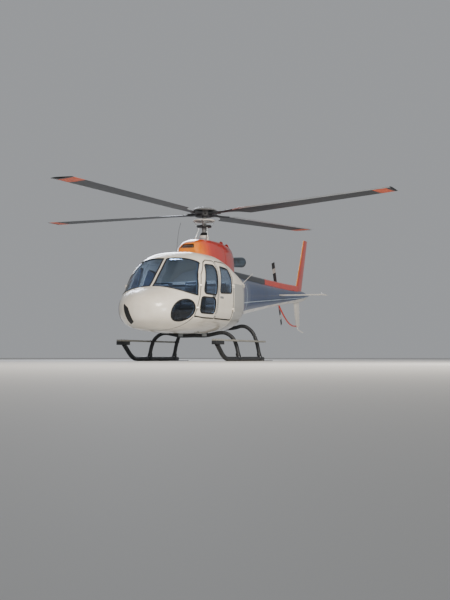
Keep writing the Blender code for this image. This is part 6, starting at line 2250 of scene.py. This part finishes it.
# %% Painted shade on the nose, gauze and antennas
NOSE_SHADE_WEDGE = [
    (-0.350, 1.095), (-0.320, 0.960), (-0.270, 0.810), (-0.230, 0.690), (-0.110, 0.735), (-0.155, 0.860),
    (-0.215, 1.000),
]
# A dark sheet 1 mm proud of the skin, in moulded ABS black: painted shade on the nose's far side.
nose_shade_sheet = twin("nose_painted_shade", clear_of_cabin)
carve(nose_shade_sheet, guide(prism("nose_shade_wedge", rounded(NOSE_SHADE_WEDGE, 0.02, 3), -3.1, -2.5, "Y")), "INTERSECT")
carve(nose_shade_sheet, skin)
finish_piece(nose_shade_sheet, moulded_abs)
wires = []
for x in np.linspace(-0.15, 0.15, 16):
    wires.append(rod("wire", [(x, -0.800, 2.32), (x, -0.770, 2.395)], 0.0012, 6))
for z in np.linspace(2.325, 2.39, 5):
    y = -0.800 + (z - 2.32) * 0.4
    wires.append(rod("wire", [(-0.16, y, z), (0.16, y, z)], 0.0012, 6))
finish_piece(gather("intake_gauze", wires), zinc_bolts)

roof_z = skin_high(-0.2, -0.91)
mount = turned("whip_antenna_foot", [
    (0.034, roof_z - 0.006), (0.030, roof_z + 0.006), (0.013, roof_z + 0.030), (0.008, roof_z + 0.050)
], 32, (-0.2, -0.91))
finish_piece(mount, cream_enamel)
line = [(-0.2, y, z) for y, z in ((-0.91, roof_z + 0.045), (-0.88, 2.45), (-0.81, 2.70), (-0.72, 2.86))]
whip = rod("whip_antenna", bend(line), 0.0035, 12)
finish_piece(whip, powder_coat)
foot = on_skin(0.70, 1.66, PORT)
line = [foot, foot + Vector((0.02, 0.03, 0.03)), Vector((0.68, 1.08, 1.91))]
aerial = rod("rod_antenna", line, [0.012, 0.006, 0.005], 16)
finish_piece(aerial, band_paint)
print("antennas made")

# %% Servo rods, bolts and position lamps
SERVO_FEET = ((-0.13, -0.20), (0.13, -0.10), (0.0, 0.24))
SWASH_UNDERSIDE_Z = SWASH_Z - 0.032
for k, (x, y) in enumerate(SERVO_FEET):
    top_way = Vector((x, y, 0.0)).normalized() * 0.125
    low = Vector((x, y, float(cowl_at(y)[1]) - 0.03))
    high = Vector((top_way.x, top_way.y, SWASH_UNDERSIDE_Z))
    line = [low, low.lerp(high, 0.45), low.lerp(high, 0.46), high]
    servo = rod(f"servo_rod_{k + 1}", line, [0.016, 0.016, 0.009, 0.009], 20)
    finish_piece(servo, ground_steel)
    line = [low, low.lerp(high, 0.12), low.lerp(high, 0.2), low.lerp(high, 0.24)]
    boot = rod(f"servo_boot_{k + 1}", line, [0.026, 0.026, 0.022, 0.015], 24)
    finish_piece(boot, band_paint)
for word, side in SIDES:
    spots = [Vector((side * x, y, STEP_LOW[2])) for x in (1.005, 1.075) for y in (-1.76, -1.64, -1.52)]
    heads = [
        turned("bolt", [(0.009, 0.4298), (0.009, 0.437), (0.006, 0.439)], 6, (spot.x, spot.y))
        for spot in spots
    ]
    heads += [turned("bolt", [(0.008, 0.4298), (0.008, 0.436), (0.005, 0.438)], 6, (side * 1.0, y + dy))
              for y in (FRONT_TUBE_Y, AFT_TUBE_Y) for dy in (-0.018, 0.018)]
    finish_piece(gather(f"step_{word}_bolts", heads), zinc_bolts)
    lamp = on_surface(dome(0.018, 0.020), Vector((side * 1.225, 4.36, STABILISER_Z + 0.0195)),
                      lambda points: points[:, 2])
    finish_piece(lamp, lamp_glass, sharp=80.0, name=f"position_lamp_{word}")
print("fittings made")

# %% [markdown]
# ## Clearing up
# The cutters have done their work and go.

# %% Finish
for cutter in GUIDES:
    mesh = cutter.data
    bpy.data.objects.remove(cutter, do_unlink=True)
    bpy.data.meshes.remove(mesh)
